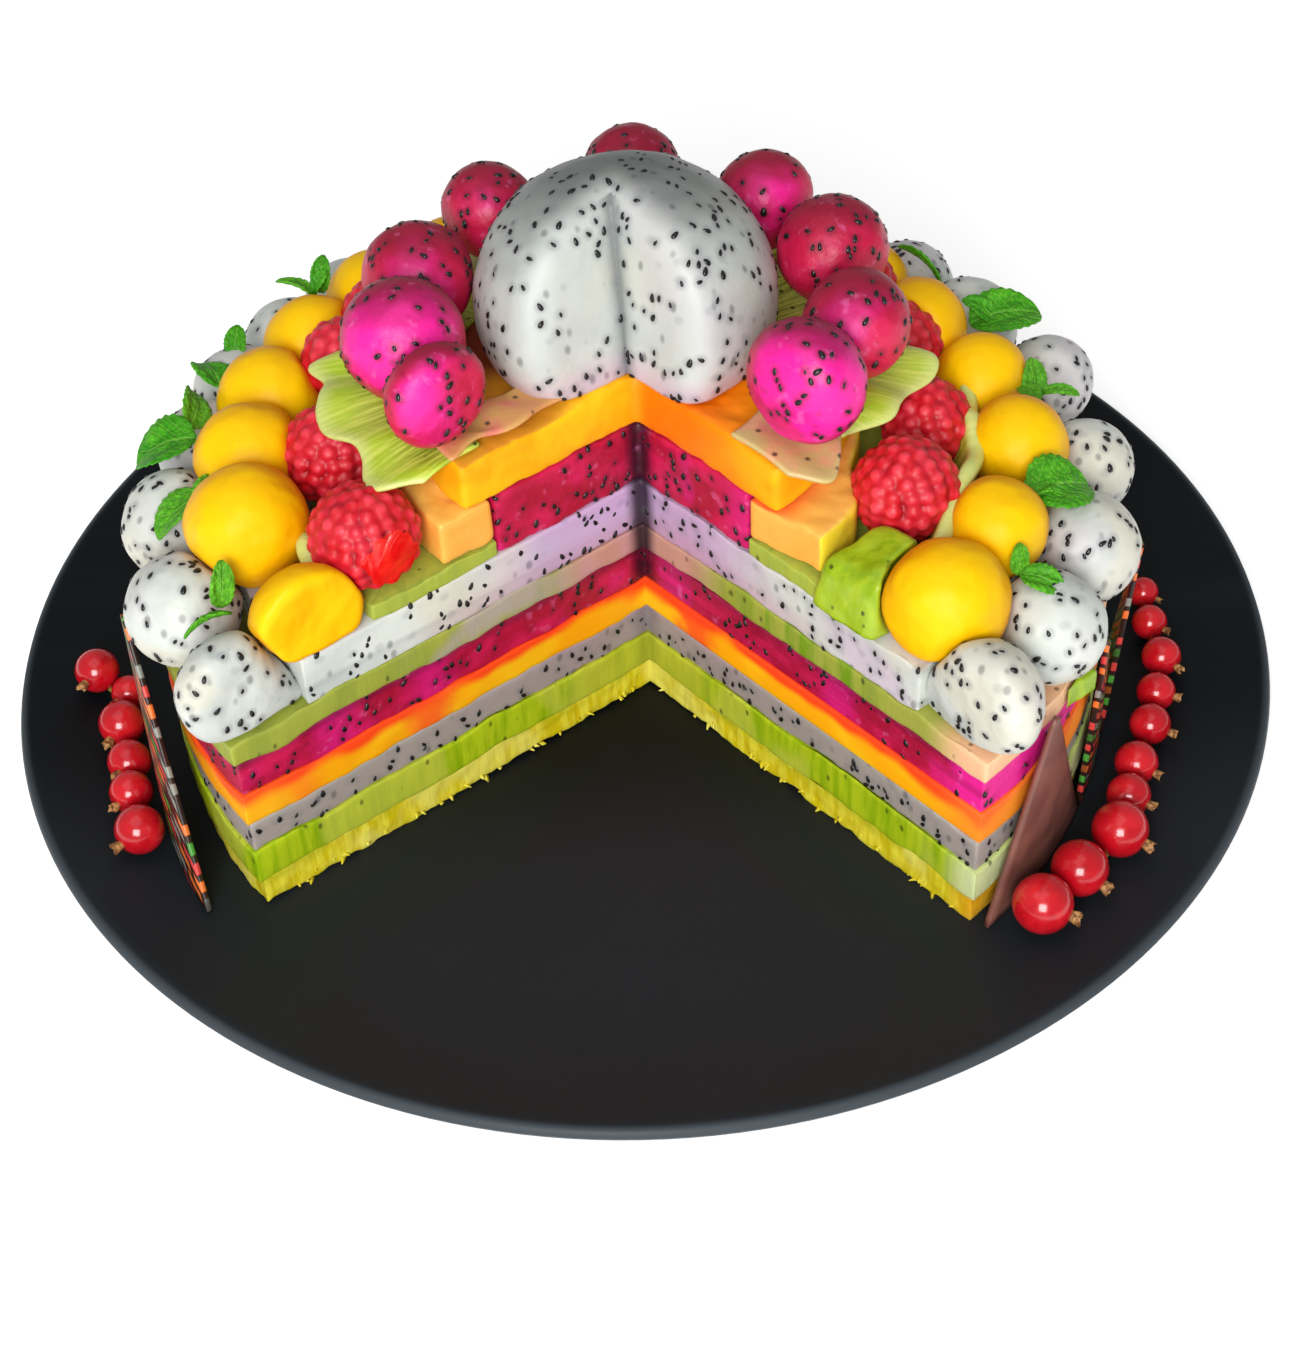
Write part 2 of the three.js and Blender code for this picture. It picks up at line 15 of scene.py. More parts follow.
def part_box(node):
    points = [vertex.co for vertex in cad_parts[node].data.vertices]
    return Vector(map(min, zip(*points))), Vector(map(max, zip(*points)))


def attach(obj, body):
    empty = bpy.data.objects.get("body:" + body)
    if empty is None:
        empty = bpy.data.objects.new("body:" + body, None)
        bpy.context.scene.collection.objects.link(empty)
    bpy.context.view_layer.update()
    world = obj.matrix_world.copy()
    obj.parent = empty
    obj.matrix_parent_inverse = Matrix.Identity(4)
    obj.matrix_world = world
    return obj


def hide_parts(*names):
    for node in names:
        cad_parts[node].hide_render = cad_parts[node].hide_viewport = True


bl_info = {
    "name": "Fruit Dome Cake",
    "version": (1, 0, 0),
    "blender": (4, 5, 0),
    "location": "View3D > Sidebar > Fruit Cake",
    "description": "Models the fruit, plate, mint and chocolate of a cut fruit cake",
    "category": "Object",
}

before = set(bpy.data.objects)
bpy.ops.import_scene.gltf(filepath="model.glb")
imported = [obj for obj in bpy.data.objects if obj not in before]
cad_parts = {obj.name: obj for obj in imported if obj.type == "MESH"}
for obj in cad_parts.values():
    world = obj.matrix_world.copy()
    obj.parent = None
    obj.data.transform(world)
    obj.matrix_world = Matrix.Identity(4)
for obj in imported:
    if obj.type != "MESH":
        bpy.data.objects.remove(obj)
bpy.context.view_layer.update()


MM = 0.001
UP = Vector((0, 0, 1))
GAP = 0.3 * MM
PLATE_FLOOR = 7 * MM

# ---------------------------------------------------------------- places that the fruit is set out from


def points_of(piece):
    """The places of a piece's vertices, as rows of an array."""
    points = np.empty(len(piece.data.vertices) * 3)
    piece.data.vertices.foreach_get("co", points)
    return points.reshape(-1, 3)


def node_box(node):
    low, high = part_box(node)
    return Vector(low), Vector(high)


def top_of(node):
    return node_box(node)[1].z


def bottom_of(node):
    return node_box(node)[0].z


CAKE = Vector((-1.5, -12.5, 0)) * MM
TOP_LAYER = Vector((0, -7, 0)) * MM
APEX = Vector((1.2, -13.9, 0)) * MM
LEFT_CUT = math.radians(216.7)
RIGHT_CUT = math.radians(310)
BALL_SEAT = top_of("layer_kiwi_mid") + GAP
MANGO_SEAT = top_of("layer_white_dragon_mid") + GAP
BERRY_SEAT = top_of("layer_kiwi_ledge") + GAP
CROWN_SEAT = top_of("layer_mango_upper") + GAP


def polar(centre, azimuth, distance, z=0.0):
    """The point at an azimuth in degrees and a distance from a vertical axis."""
    angle = math.radians(azimuth)
    return Vector((centre.x + distance * math.cos(angle), centre.y + distance * math.sin(angle), z))


def mix(a, b, share):
    """The value between a and b."""
    return a + (b - a) * share


def smooth_step(low, high, value):
    share = min(max((value - low) / (high - low), 0.0), 1.0)
    return share * share * (3 - 2 * share)


# Each layer's radius, the radius of its hole and how far its cut face is set back, in millimetres, and
# how many rounds of smoothing give it round edges.
LAYERS = {
    "layer_pineapple": (95.8, 0, 0.9, 0),
    "layer_kiwi_low": (96.8, 0, 0, 0),
    "layer_white_dragon_low": (96.2, 0, 0.7, 0),
    "layer_mango_low": (96.9, 0, 0.1, 0),
    "layer_red_dragon_low": (96.4, 0, 0.5, 0),
    "layer_kiwi_mid": (97.2, 0, 0, 0),
    "layer_white_dragon_mid": (79.6, 0, 0.3, 0),
    "layer_kiwi_ledge": (63.2, 33.9, 0.4, 0),
    "layer_melon": (46.4, 33.9, 0.2, 34),
    "layer_red_dragon_upper": (33.4, 0, 0.6, 8),
    "layer_mango_upper": (45.2, 0, 0, 44),
}

# The waves that all layers share: size and height in millimetres.
WAVES = ((17, 2.4), (7, 1.5))

# A run of even balls at the back: azimuths from and to, count, first and last distance, radius, lift.
BACK_RUNS = {
    "white": (32, 169.5, 12, 88, 87, 10.5, 0),
    "mango": (27, 151, 9, 68.5, 72.5, 10.7, 0),
    "raspberry": (39, 158.5, 9, 62.5, 60, 9.2, 4),
}

# A raspberry's half height as a share of its radius.
BERRY_HEIGHT = 0.94

# Redcurrants along each sprig: x, y and radius in millimetres, on the plate.
SPRIGS = {
    "redcurrants_left": [
        (-118, -8.1, 4.8), (-110.8, -13.5, 3.8), (-110.9, -24.2, 4.9),
        (-108, -35.4, 4.6), (-106.6, -44.4, 4.5), (-103.4, -56, 5.1),
    ],
    "redcurrants_right": [
        (110.6, 3.6, 3.4), (110.2, -6.5, 3.8), (110.6, -18, 4.2), (107.6, -28.5, 4.1),
        (104.6, -38.2, 4.3), (99.8, -49.2, 4.5), (96.6, -58.4, 4.5), (92.9, -69, 5.7),
        (83.4, -78.6, 5.7), (74.8, -87.6, 6),
    ],
}


def fitted_ball(node):
    """Centre and radius of the ball that the corners of a plain solid lie on."""
    points = points_of(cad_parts[node])
    system = np.c_[2 * points, np.ones(len(points))]
    answer = np.linalg.lstsq(system, (points**2).sum(axis=1), rcond=None)[0]
    centre = answer[:3]
    return Vector(centre), math.sqrt(answer[3] + centre @ centre)


def front_balls(name, count):
    return [fitted_ball(f"{name}_{index + 1}") for index in range(count)]


def back_balls(fruit, seat, flattening=1.0):
    first, last, count, near, far, radius, lift = BACK_RUNS[fruit]
    height = seat + (radius * flattening + lift) * MM
    balls = []
    for index in range(count):
        share = index / (count - 1)
        centre = polar(CAKE, mix(first, last, share), mix(near, far, share) * MM, height)
        balls.append((centre, radius * MM))
    return balls


# ---------------------------------------------------------------- colours and materials


def hue(text):
    """A colour from its six hexadecimal digits, as the linear values that shaders take."""
    parts = [int(text[start : start + 2], 16) / 255 for start in (0, 2, 4)]
    linear = [part / 12.92 if part <= 0.04045 else ((part + 0.055) / 1.055) ** 2.4 for part in parts]
    return (*linear, 1.0)


def colour(name):
    """One of the panel's colours by its name, or any other by its six hexadecimal digits."""
    if name in FruitCakeColours.__annotations__:
        return tuple(getattr(bpy.context.scene.fruit_cake_colours, name))
    return hue(name)


class Value:
    """A shader value. Python's operators on it add the Math nodes."""

    def __init__(self, finish, link):
        self.finish = finish
        self.link = link

    def maths(self, operation, *terms):
        return self.finish.value("ShaderNodeMath", {"operation": operation}, dict(enumerate(terms)))

    def __add__(self, other):
        return self.maths("ADD", self, other)

    __radd__ = __add__

    def __sub__(self, other):
        return self.maths("SUBTRACT", self, other)

    def __rsub__(self, other):
        return self.maths("SUBTRACT", other, self)

    def __mul__(self, other):
        return self.maths("MULTIPLY", self, other)

    __rmul__ = __mul__

    def __truediv__(self, other):
        return self.maths("DIVIDE", self, other)

    def __gt__(self, other):
        return self.maths("GREATER_THAN", self, other)

    def __abs__(self):
        return self.maths("ABSOLUTE", self)

    def sine(self):
        return self.maths("SINE", self)


class Finish:
    """One material, built node by node on object coordinates in millimetres."""

    def __init__(self, name):
        self.material = bpy.data.materials.new(name)
        self.material.use_nodes = True
        self.tree = self.material.node_tree
        self.tree.nodes.clear()
        self.base = None
        place = self.value("ShaderNodeTexCoord", {}, {}, "Object")
        self.place = self.vector("SCALE", place, Scale=1 / MM)
        self.x, self.y, self.z = self.axes(self.place)

    def node(self, kind, settings, inputs):
        node = self.tree.nodes.new(kind)
        for key, setting in settings.items():
            setattr(node, key, setting)
        for key, source in inputs.items():
            socket = node.inputs[key]
            if isinstance(source, Value):
                self.tree.links.new(source.link, socket)
            else:
                socket.default_value = colour(source) if isinstance(source, str) else source
        return node

    def value(self, kind, settings, inputs, output=0):
        return Value(self, self.node(kind, settings, inputs).outputs[output])

    def vector(self, operation, *terms, **named):
        output = "Value" if operation in ("DISTANCE", "DOT_PRODUCT") else "Vector"
        inputs = {**dict(enumerate(terms)), **named}
        return self.value("ShaderNodeVectorMath", {"operation": operation}, inputs, output)

    def axes(self, vector):
        node = self.node("ShaderNodeSeparateXYZ", {}, {0: vector})
        return [Value(self, output) for output in node.outputs]

    def map(self):
        """The piece's own map."""
        return self.value("ShaderNodeTexCoord", {}, {}, "UV")

    def texture(self, place, detail):
        inputs = {"Vector": place, "Scale": 1.0, "Detail": detail}
        return self.value("ShaderNodeTexNoise", {"noise_dimensions": "3D"}, inputs)

    def noise(self, size, detail=2.0, stretch=(1, 1, 1), shift=0.0):
        """Smooth noise from 0 to 1 whose blobs are about size millimetres across."""
        scale = tuple(1 / (size * share) for share in stretch)
        place = self.vector("MULTIPLY", self.place, scale)
        if shift:
            place = self.vector("ADD", place, (shift, shift * 0.7, shift * 1.3))
        return self.texture(place, detail)

    def cells(self, place, scale=1.0):
        """A random pattern of cells: the distance from each cell's heart, and its random colour."""
        node = self.node("ShaderNodeTexVoronoi", {"feature": "F1"}, {"Vector": place, "Scale": scale})
        return Value(self, node.outputs["Distance"]), Value(self, node.outputs["Color"])

    def spots(self, size, share, radius, stretch=(1, 1, 1), shift=0.0):
        """Soft spots, 0 to 1, in a share of the cells of a random pattern."""
        scale = tuple(1 / (size * part) for part in stretch)
        distance, tone = self.cells(self.vector("MULTIPLY_ADD", self.place, scale, (shift,) * 3))
        chosen = self.value("ShaderNodeSeparateColor", {}, {0: tone}) > 1 - share
        return self.rise(distance, radius, radius * 0.35) * chosen

    def rise(self, value, low, high, bottom=0.0, top=1.0):
        """A smooth rise from bottom to top as value goes from low to high."""
        inputs = {"Value": value, "From Min": low, "From Max": high, "To Min": bottom, "To Max": top}
        return self.value("ShaderNodeMapRange", {"interpolation_type": "SMOOTHSTEP"}, inputs)

    def blend(self, share, a, b):
        """A colour between a and b."""
        return self.value("ShaderNodeMix", {"data_type": "RGBA"}, {0: share, 6: a, 7: b}, 2)

    def start(self, share, a, b):
        """Sets the ground that the tints go over: a colour between a and b."""
        self.base = self.blend(share, a, b)

    def tint(self, share, tone):
        self.base = self.blend(share, self.base, tone)

    def bands(self, value, stops):
        """The colour of the band that a value falls in."""
        node = self.node("ShaderNodeValToRGB", {}, {0: value})
        node.color_ramp.interpolation = "CONSTANT"
        elements = node.color_ramp.elements
        while len(elements) < len(stops):
            elements.new(0.5)
        for element, (position, tone) in zip(elements, stops):
            element.position = position
            element.color = colour(tone)
        return Value(self, node.outputs[0])

    def facing(self, direction):
        """How far the surface faces a direction, from -1 to 1."""
        normal = self.value("ShaderNodeNewGeometry", {}, {}, "Normal")
        return self.vector("DOT_PRODUCT", normal, direction)

    def attribute(self, name):
        settings = {"attribute_type": "GEOMETRY", "attribute_name": name}
        return self.value("ShaderNodeAttribute", settings, {}, "Fac")

    def from_axis(self, centre):
        """Distance from a vertical axis, in millimetres."""
        flat = self.vector("MULTIPLY", self.place, (1, 1, 0))
        return self.vector("DISTANCE", flat, tuple(centre / MM))

    def along_cut(self):
        """Distance from the inner corner of the cut, in millimetres."""
        return self.from_axis(APEX)

    def stretch(self, start, end, right, soft=4.0):
        """One stretch of the cut: between two distances from its inner corner, on one side."""
        distance = self.along_cut() + (self.noise(5, 2, shift=17) - 0.5) * 6.0
        inside = self.rise(distance, start - soft, start + soft)
        inside = inside * self.rise(distance, end + soft, end - soft)
        return inside * (self.rise(self.x, -1.5, 1.5) if right else self.rise(self.x, 1.5, -1.5))

    def outer_corner(self, start, end, left=0.0):
        """The outer corner of the cut's right face, with the rim beside it."""
        side = self.rise(self.x, -2, 4, left, 1.0) * self.rise(self.y, -14, -44)
        return self.rise(self.along_cut(), start, end) * side

    def inner_shadow(self):
        """The dark line where the two cut faces meet."""
        height = self.rise(self.z, 28, 40, 0.25, 0.92)
        self.tint(self.rise(self.along_cut(), 4.6, 0.9) * height, "1d0518")

    def bump(self, height, depth):
        """The normal for a relief of depth millimetres."""
        inputs = {"Height": height, "Distance": depth * MM, "Strength": 1.0}
        return self.value("ShaderNodeBump", {}, inputs)

    def done(self, roughness, normal=None, specular=0.5, soft=(0, 1), **constants):
        """Ends the material. Soft is the weight, the depth in millimetres and the tint of light inside."""
        weight, depth, *tint = soft
        inputs = {
            "Base Color": self.base,
            "Roughness": roughness,
            "Specular IOR Level": specular,
            "Subsurface Weight": weight,
            "Subsurface Scale": depth * MM,
            "Subsurface Radius": (tint or [(1, 1, 1)])[0],
            **{key.replace("_", " "): constant for key, constant in constants.items()},
        }
        if normal is not None:
            inputs["Normal"] = normal
        shader = self.node("ShaderNodeBsdfPrincipled", {}, inputs)
        output = self.node("ShaderNodeOutputMaterial", {}, {})
        self.tree.links.new(shader.outputs[0], output.inputs[0])
        return self.material


def glaze():
    f = Finish("plate glaze")
    cloud = f.noise(42, 4)
    smear = f.rise(f.noise(26, 3, stretch=(2.4, 1, 1), shift=5), 0.52, 0.72)
    grain = f.noise(1.6, 2)
    f.start(cloud, "glaze", "0d1216")
    f.tint(smear * 0.5, "161a1d")
    # Lighter towards the front: a painted soft sheen on the glaze.
    f.tint(f.rise(f.y, -20, -70) * 0.6, "262c31")
    # A thin lighter line round the top of the rim: a painted highlight.
    painted_rim_highlight = f.rise(f.from_axis(Vector()), 132.6, 134.4) * f.rise(f.z, 8.6, 10.2)
    f.tint(painted_rim_highlight * 0.6, "4c545a")
    return f.done(0.42 + smear * 0.1 + grain * 0.06, f.bump(grain, 0.02), specular=0.16)


def white_flesh(layered):
    f = Finish("white flesh of the layers" if layered else "white flesh")
    cloud = f.noise(13, 3)
    f.start(f.rise(cloud, 0.35, 0.65), "white_flesh", "c4c9c3")
    f.tint(f.rise(f.noise(22, 1, shift=6), 0.52, 0.66) * 0.5, "d8d0b8")
    lilac = f.rise(f.noise(28, 1, shift=4), 0.54, 0.7) * 0.5
    f.tint(lilac * (1.0 if layered else 0.5), "d3b6d2")
    if layered:
        f.tint(f.rise(f.along_cut(), 46, 16) * 0.75, "bd93c8")
        # The low white layer greyer and darker: painted shade.
        f.tint(f.rise(f.z, 34, 28) * 0.9, "a1948d")
        f.tint(f.rise(f.z, 60, 54) * f.rise(f.along_cut(), 60, 40) * f.rise(f.z, 36, 44) * 0.4, "c08ca0")
        f.inner_shadow()
    else:
        # Greyer where the flesh turns away from the camera: painted shade at the edges of the balls and the
        # dome.
        f.tint(f.rise(f.facing((0, -0.72, 0.69)), 0.4, -0.3) * 0.5, "979fa3")
        # Painted shade on the dome's crown: greyer, and darkest where it faces up and back.
        crown = f.rise(f.z, 88, 100)
        f.tint(crown * 0.5, "bcc2be")
        top = f.rise(f.facing((0, 0.5, 0.87)), 0.1, 1.1)
        f.tint(top * crown * 0.85, "464b4a")
        f.tint(f.rise(f.z, 99, 92) * f.rise(f.z, 89, 90.5) * 0.5, "c79fbd")
        # Painted shade in the crease of the dome's notch.
        f.tint(f.attribute("crease") * 0.8, "4d5355")
    f.tint(f.attribute("near_seed") * 0.38, "70747a")
    buried = f.spots(3.4, 0.42, 0.3, stretch=(1, 1, 1.5))
    f.tint(f.spots(4.6, 0.5, 0.3, stretch=(1.3, 1, 1), shift=7) * 0.22, "6b6f78")
    f.tint(buried * 0.5, "3c3d45")
    grain = f.noise(1.3, 2)
    return f.done(0.34 + cloud * 0.16, f.bump(grain, 0.08), specular=0.38, soft=(0.22, 3))


def red_flesh(layered):
    f = Finish("red flesh of the layers" if layered else "red flesh")
    if layered:
        patch = f.noise(10, 2, stretch=(1, 1, 0.7))
        f.start(f.rise(patch, 0.4, 0.66), "ac0c34", "cc1450")
        # Brighter magenta patches along the cut faces where they catch the light, some placed and some random:
        # painted light.
        lit = f.stretch(50, 58, False) + f.stretch(72, 80, False) + f.stretch(52, 60, True, 3)
        lit = lit + f.stretch(5, 12, True, 2) * f.rise(f.z, 60, 50)
        lit = lit + f.stretch(26, 32, True) * f.rise(f.z, 50, 62)
        bright = lit.maths("MAXIMUM", lit, f.rise(f.noise(12, 1, shift=9), 0.6, 0.7) * 0.75)
        f.tint(bright * 0.65, "e21c86")
        upper = f.rise(f.z, 44.2, 47.2) * f.rise(f.z, 49, 48)
        f.tint(upper * 0.62, "560a35")
        corner = f.rise(f.z, 60, 50) * f.outer_corner(83, 89)
        f.tint(corner * 0.8, "f5259e")
        f.inner_shadow()
    else:
        patch = f.noise(14, 2)
        # Painted light and shade: lit pink where the ball faces the light, shaded crimson away from it, and
        # each ball pulled towards the shaded colour by its own share of painted shade.
        front = f.facing((0.06, -0.82, 0.57))
        share = f.rise(front * 0.9 + patch * 1.3 - f.attribute("crimson") * 0.75, 0.62, 1.25)
        f.start(share, "red_shade", "red_flesh")
        f.tint(f.rise(f.noise(9, 2, shift=21), 0.5, 0.62) * f.rise(share, 0.9, 0.3) * 0.5, "e0285c")
        # Dark crimson patches where the ball turns away from the light: painted shade.
        f.tint(f.rise(f.noise(19, 1, shift=13), 0.52, 0.62) * f.rise(front, 0.6, 0.1) * 0.6, "7a0c34")
        # Darker where the ball faces up and back: painted shade.
        top = f.rise(f.facing((0, 0.45, 0.89)), 0.1, 0.9)
        f.tint(top * 0.8, "8c0a2a")
    f.tint(f.attribute("near_seed") * 0.55, "7a0b2c")
    f.tint(f.spots(3.1, 0.3, 0.3) * 0.3, "5b0a24")
    f.tint(f.rise(f.noise(3.0, 4, shift=11), 0.6, 0.72) * 0.2, "ff8fd0")
    grain = f.noise(1.1, 2)
    return f.done(0.34 + patch * 0.2, f.bump(grain, 0.12), specular=0.42, soft=(0.16, 2))


def mango_flesh():
    f = Finish("mango flesh")
    patch = f.noise(12, 2)
    share = f.rise(f.facing((-0.05, -0.76, 0.64)) + (patch - 0.5) * 0.7, -0.25, 0.85)
    f.start(share, "mango_shade", "mango_flesh")
    fibre = f.noise(1.4, 2, stretch=(1, 1, 5))
    f.tint(f.rise(fibre, 0.55, 0.75) * 0.15, "ffd810")
    return f.done(0.4 + patch * 0.14, f.bump(fibre, 0.04), specular=0.18, soft=(0.2, 3))


def mango_layers():
    f = Finish("mango of the layers")
    patch = f.noise(16, 2, stretch=(1, 1, 0.6))
    f.start(f.rise(patch, 0.4, 0.62), "ffab0c", "ffbe14")
    right = f.rise(f.x, -2, 4) * f.rise(f.along_cut(), 44, 12) * f.rise(f.z, 60, 76)
    f.tint(right * 0.95, "ff7604")
    low = f.rise(f.z, 50, 40)
    red_orange = low * f.rise(f.z + (f.noise(14, 1, shift=4) - 0.5) * 9.0, 34.4, 37.6)
    f.tint(red_orange * 0.95, "ff3d18")
    glow = f.stretch(50, 60, False, 3) + f.stretch(82, 88, False, 3) * 0.6 + f.stretch(10, 20, True, 3)
    f.tint(low * glow * 0.8, "ff4420")
    f.tint(low * f.outer_corner(80, 94, 0.3) * 0.7, "ff7a2e")
    # Top faces darker where the balls sit on them: painted shade, brownish on the left and dark red at the
    # back.
    upward = f.rise(f.z, 70, 80) * f.rise(f.facing((0, 0, 1)), 0.6, 0.9)
    f.tint(upward * f.rise(f.x, -8, -16) * 0.6, "c07a30")
    f.tint(upward * f.rise(f.y, -16, -6) * 0.85, "7c1020")
    fibre = f.noise(1.5, 3, stretch=(1, 1, 0.4))
    return f.done(0.36 + patch * 0.15, f.bump(fibre, 0.06), specular=0.22, soft=(0.2, 3))


def melon_flesh():
    f = Finish("melon flesh")
    patch = f.noise(9, 2)
    f.start(patch, "ffa63c", "ffc05c")
    outward = f.rise(f.facing((0.64, -0.77, 0)), 0.25, 0.6) * f.rise(f.x, -2, 4)
    f.tint(outward * f.rise(f.z, 60, 72, 0.95, 0.75), "f0e024")
    top = f.rise(f.facing((0, 0, 1)), 0.4, 0.8)
    f.tint(top * 0.4, "ffd86e")
    # Red-orange on the melon's top beside the mango and the raspberry: a painted shadow.
    red_orange = top * f.rise(f.from_axis(CAKE), 47.5, 39) * f.rise(f.x, 10, 22)
    f.tint(red_orange * 0.85, "ea4a10")
    grain = f.noise(1.2, 3)
    return f.done(0.34, f.bump(grain, 0.06), soft=(0.22, 3))


def kiwi_layers():
    f = Finish("kiwi of the layers")
    streak = f.noise(2.4, 3, stretch=(1, 1, 9))
    patch = f.noise(15, 1, stretch=(1, 1, 2), shift=6)
    f.start(f.rise(streak, 0.34, 0.64), "8fb208", "b6cb1c")
    f.tint(f.rise(patch, 0.5, 0.62) * 0.6, "c8cc4c")
    f.tint(f.rise(f.z, 26, 20) * f.rise(f.along_cut(), 26, 10) * 0.7, "c3c23a")
    upper = f.rise(f.z, 40, 48) * f.rise(f.z, 62, 56)
    f.tint(upper * 0.7, "94954a")
    f.tint(f.rise(f.z, 60, 64) * 0.6, "a5ab58")
    bright = upper * f.stretch(30, 62, True)
    f.tint(bright * f.rise(streak, 0.62, 0.36) * 0.85, "6f9a10")
    bare = upper * f.rise(f.noise(13, 2, shift=31), 0.4, 0.64) * f.rise(f.x, 6, -2)
    bare = bare * f.rise(f.along_cut(), 64, 50)
    f.tint(bare * 0.8, "b3a4a2")
    peach = upper * f.outer_corner(78, 90)
    centre = upper * f.rise(f.along_cut(), 26, 12)
    f.tint(peach * 0.9, "ffc49c")
    f.tint(centre * 0.75, "d08f92")
    pale = f.rise(f.z, 26, 20) * f.outer_corner(84, 93)
    f.tint(pale * 0.85, "e2eab4")
    seed = f.spots(2.6, 0.3, 0.27, stretch=(1, 1, 1.7), shift=3)
    f.tint(seed * 0.7, "2b2a17")
    f.inner_shadow()
    grain = f.noise(1.1, 3, stretch=(1, 1, 4))
    return f.done(0.32 + streak * 0.2, f.bump(grain, 0.1), specular=0.28, soft=(0.22, 3))


def kiwi_slice():
    """Thin slices, on whose map the first axis runs from the core out to the rim."""
    f = Finish("kiwi slices")
    across = f.axes(f.map())[0]
    streak = f.texture(f.vector("MULTIPLY", f.map(), (2, 46, 1)), 3.0)
    f.start(f.rise(streak, 0.34, 0.64), "aecb2c", "cfe05c")
    # Darker streaks towards the inner side, under the balls: painted shade.
    inner = f.rise(across, 0.78, 0.4)
    f.tint(inner * f.rise(streak, 0.62, 0.4) * 0.7, "6c7a1e")
    f.tint(f.rise(across, 0.82, 0.99) * 0.6, "dfe69a")
    f.tint(f.rise(f.noise(15, 1, shift=8), 0.5, 0.64) * 0.16, "d3c17c")
    seed = f.spots(2.4, 0.45, 0.28, shift=1) * f.rise(across, 0.52, 0.4)
    f.tint(seed * 0.9, "17130c")
    relief = streak * 0.6 + f.noise(1.2, 2)
    return f.done(0.3, f.bump(relief, 0.12), specular=0.45, soft=(0.3, 2.5))


def kiwi_peach():
    """The slices that show peach through the crown's red juice."""
    f = Finish("kiwi slices with red juice")
    cloud = f.noise(7, 2)
    f.start(f.rise(cloud, 0.4, 0.6), "e2aa80", "cdb878")
    f.tint(f.rise(f.x, 4, -4) * 0.6, "d08c40")
    f.tint(f.rise(f.noise(9, 2, shift=4), 0.52, 0.7) * 0.6, "e0687a")
    seed = f.spots(3.0, 0.45, 0.28, shift=1)
    f.tint(seed * 0.85, "1d1513")
    grain = f.noise(1.2, 3)
    return f.done(0.3, f.bump(grain, 0.12), specular=0.45, soft=(0.3, 2.5))


def kiwi_chunk():
    f = Finish("kiwi chunks")
    streak = f.noise(2.6, 3, stretch=(1, 0.6, 3))
    f.start(f.rise(streak, 0.36, 0.64), "8aac12", "a0bc1c")
    f.tint(f.rise(f.noise(9, 1), 0.5, 0.62) * 0.3, "bccf3a")
    side = f.rise(f.facing((0.8, 0.1, 0.55)), 0.5, 0.9)
    f.tint(side * 0.7, "6f6a22")
    seed = f.spots(2.6, 0.25, 0.26, shift=5)
    f.tint(seed * 0.8, "1d1b10")
    return f.done(0.3, f.bump(streak, 0.12), specular=0.45, soft=(0.25, 3))


def pineapple_flesh():
    f = Finish("pineapple flesh")
    fibre = f.noise(1.6, 4, stretch=(1, 1, 5))
    patch = f.noise(11, 2, stretch=(1, 1, 1.4))
    f.start(f.rise(fibre, 0.36, 0.64), "dcc810", "f0e440")
    f.tint(f.rise(patch, 0.46, 0.64) * 0.55, "f6f07a")
    f.tint(f.rise(f.z, 10.5, 14.5) * f.rise(patch, 0.52, 0.4) * 0.5, "b4bf22")
    f.tint(f.outer_corner(84, 95) * 0.7, "f59c12")
    return f.done(0.36 + fibre * 0.15, f.bump(fibre, 0.25), specular=0.4, soft=(0.2, 2.5))


def berry_skin(cut):
    f = Finish("raspberry flesh where it is cut" if cut else "raspberry skin")
    patch = f.noise(5, 2)
    if cut:
        f.start(f.rise(patch, 0.4, 0.62), "e00f0f", "f52a1e")
        return f.done(0.25, f.bump(f.noise(1.1, 2), 0.15), soft=(0.2, 2))
    depth = f.attribute("depth")
    f.start(f.rise(patch, 0.38, 0.64), "raspberry", "d01f34")
    # Darker in the creases between the drupelets: painted shade.
    f.tint(f.rise(depth, 0.6, 0.3) * 0.8, "a00c1c")
    # Lighter on the tips of the drupelets: painted highlight.
    f.tint(f.rise(depth, 0.7, 0.97) * 0.6, "ff4e62")
    return f.done(0.44, specular=0.42, soft=(0.15, 1.5))


def currant_skin():
    f = Finish("redcurrant skin")
    patch = f.noise(6, 2)
    f.start(f.rise(patch, 0.4, 0.64), "redcurrant", "d31a26")
    f.tint(f.spots(4.4, 0.4, 0.4, shift=2) * 0.35, "7d0410")
    soft = (0.25, 2, (1.0, 0.3, 0.3))
    return f.done(0.16 + patch * 0.08, f.bump(patch, 0.05), soft=soft, Coat_Weight=0.35, Coat_Roughness=0.12)


def calyx_skin():
    f = Finish("dried calyx")
    fibre = f.noise(0.8, 3, stretch=(1, 1, 3))
    f.start(f.rise(fibre, 0.36, 0.64), "6b3f1c", "c29055")
    return f.done(0.7, f.bump(fibre, 0.15))


def stem_skin():
    f = Finish("green stem")
    fibre = f.noise(1.5, 3, stretch=(1, 1, 1))
    f.start(f.rise(fibre, 0.4, 0.6), "8a9a3a", "a8743c")
    return f.done(0.5, f.bump(fibre, 0.08))


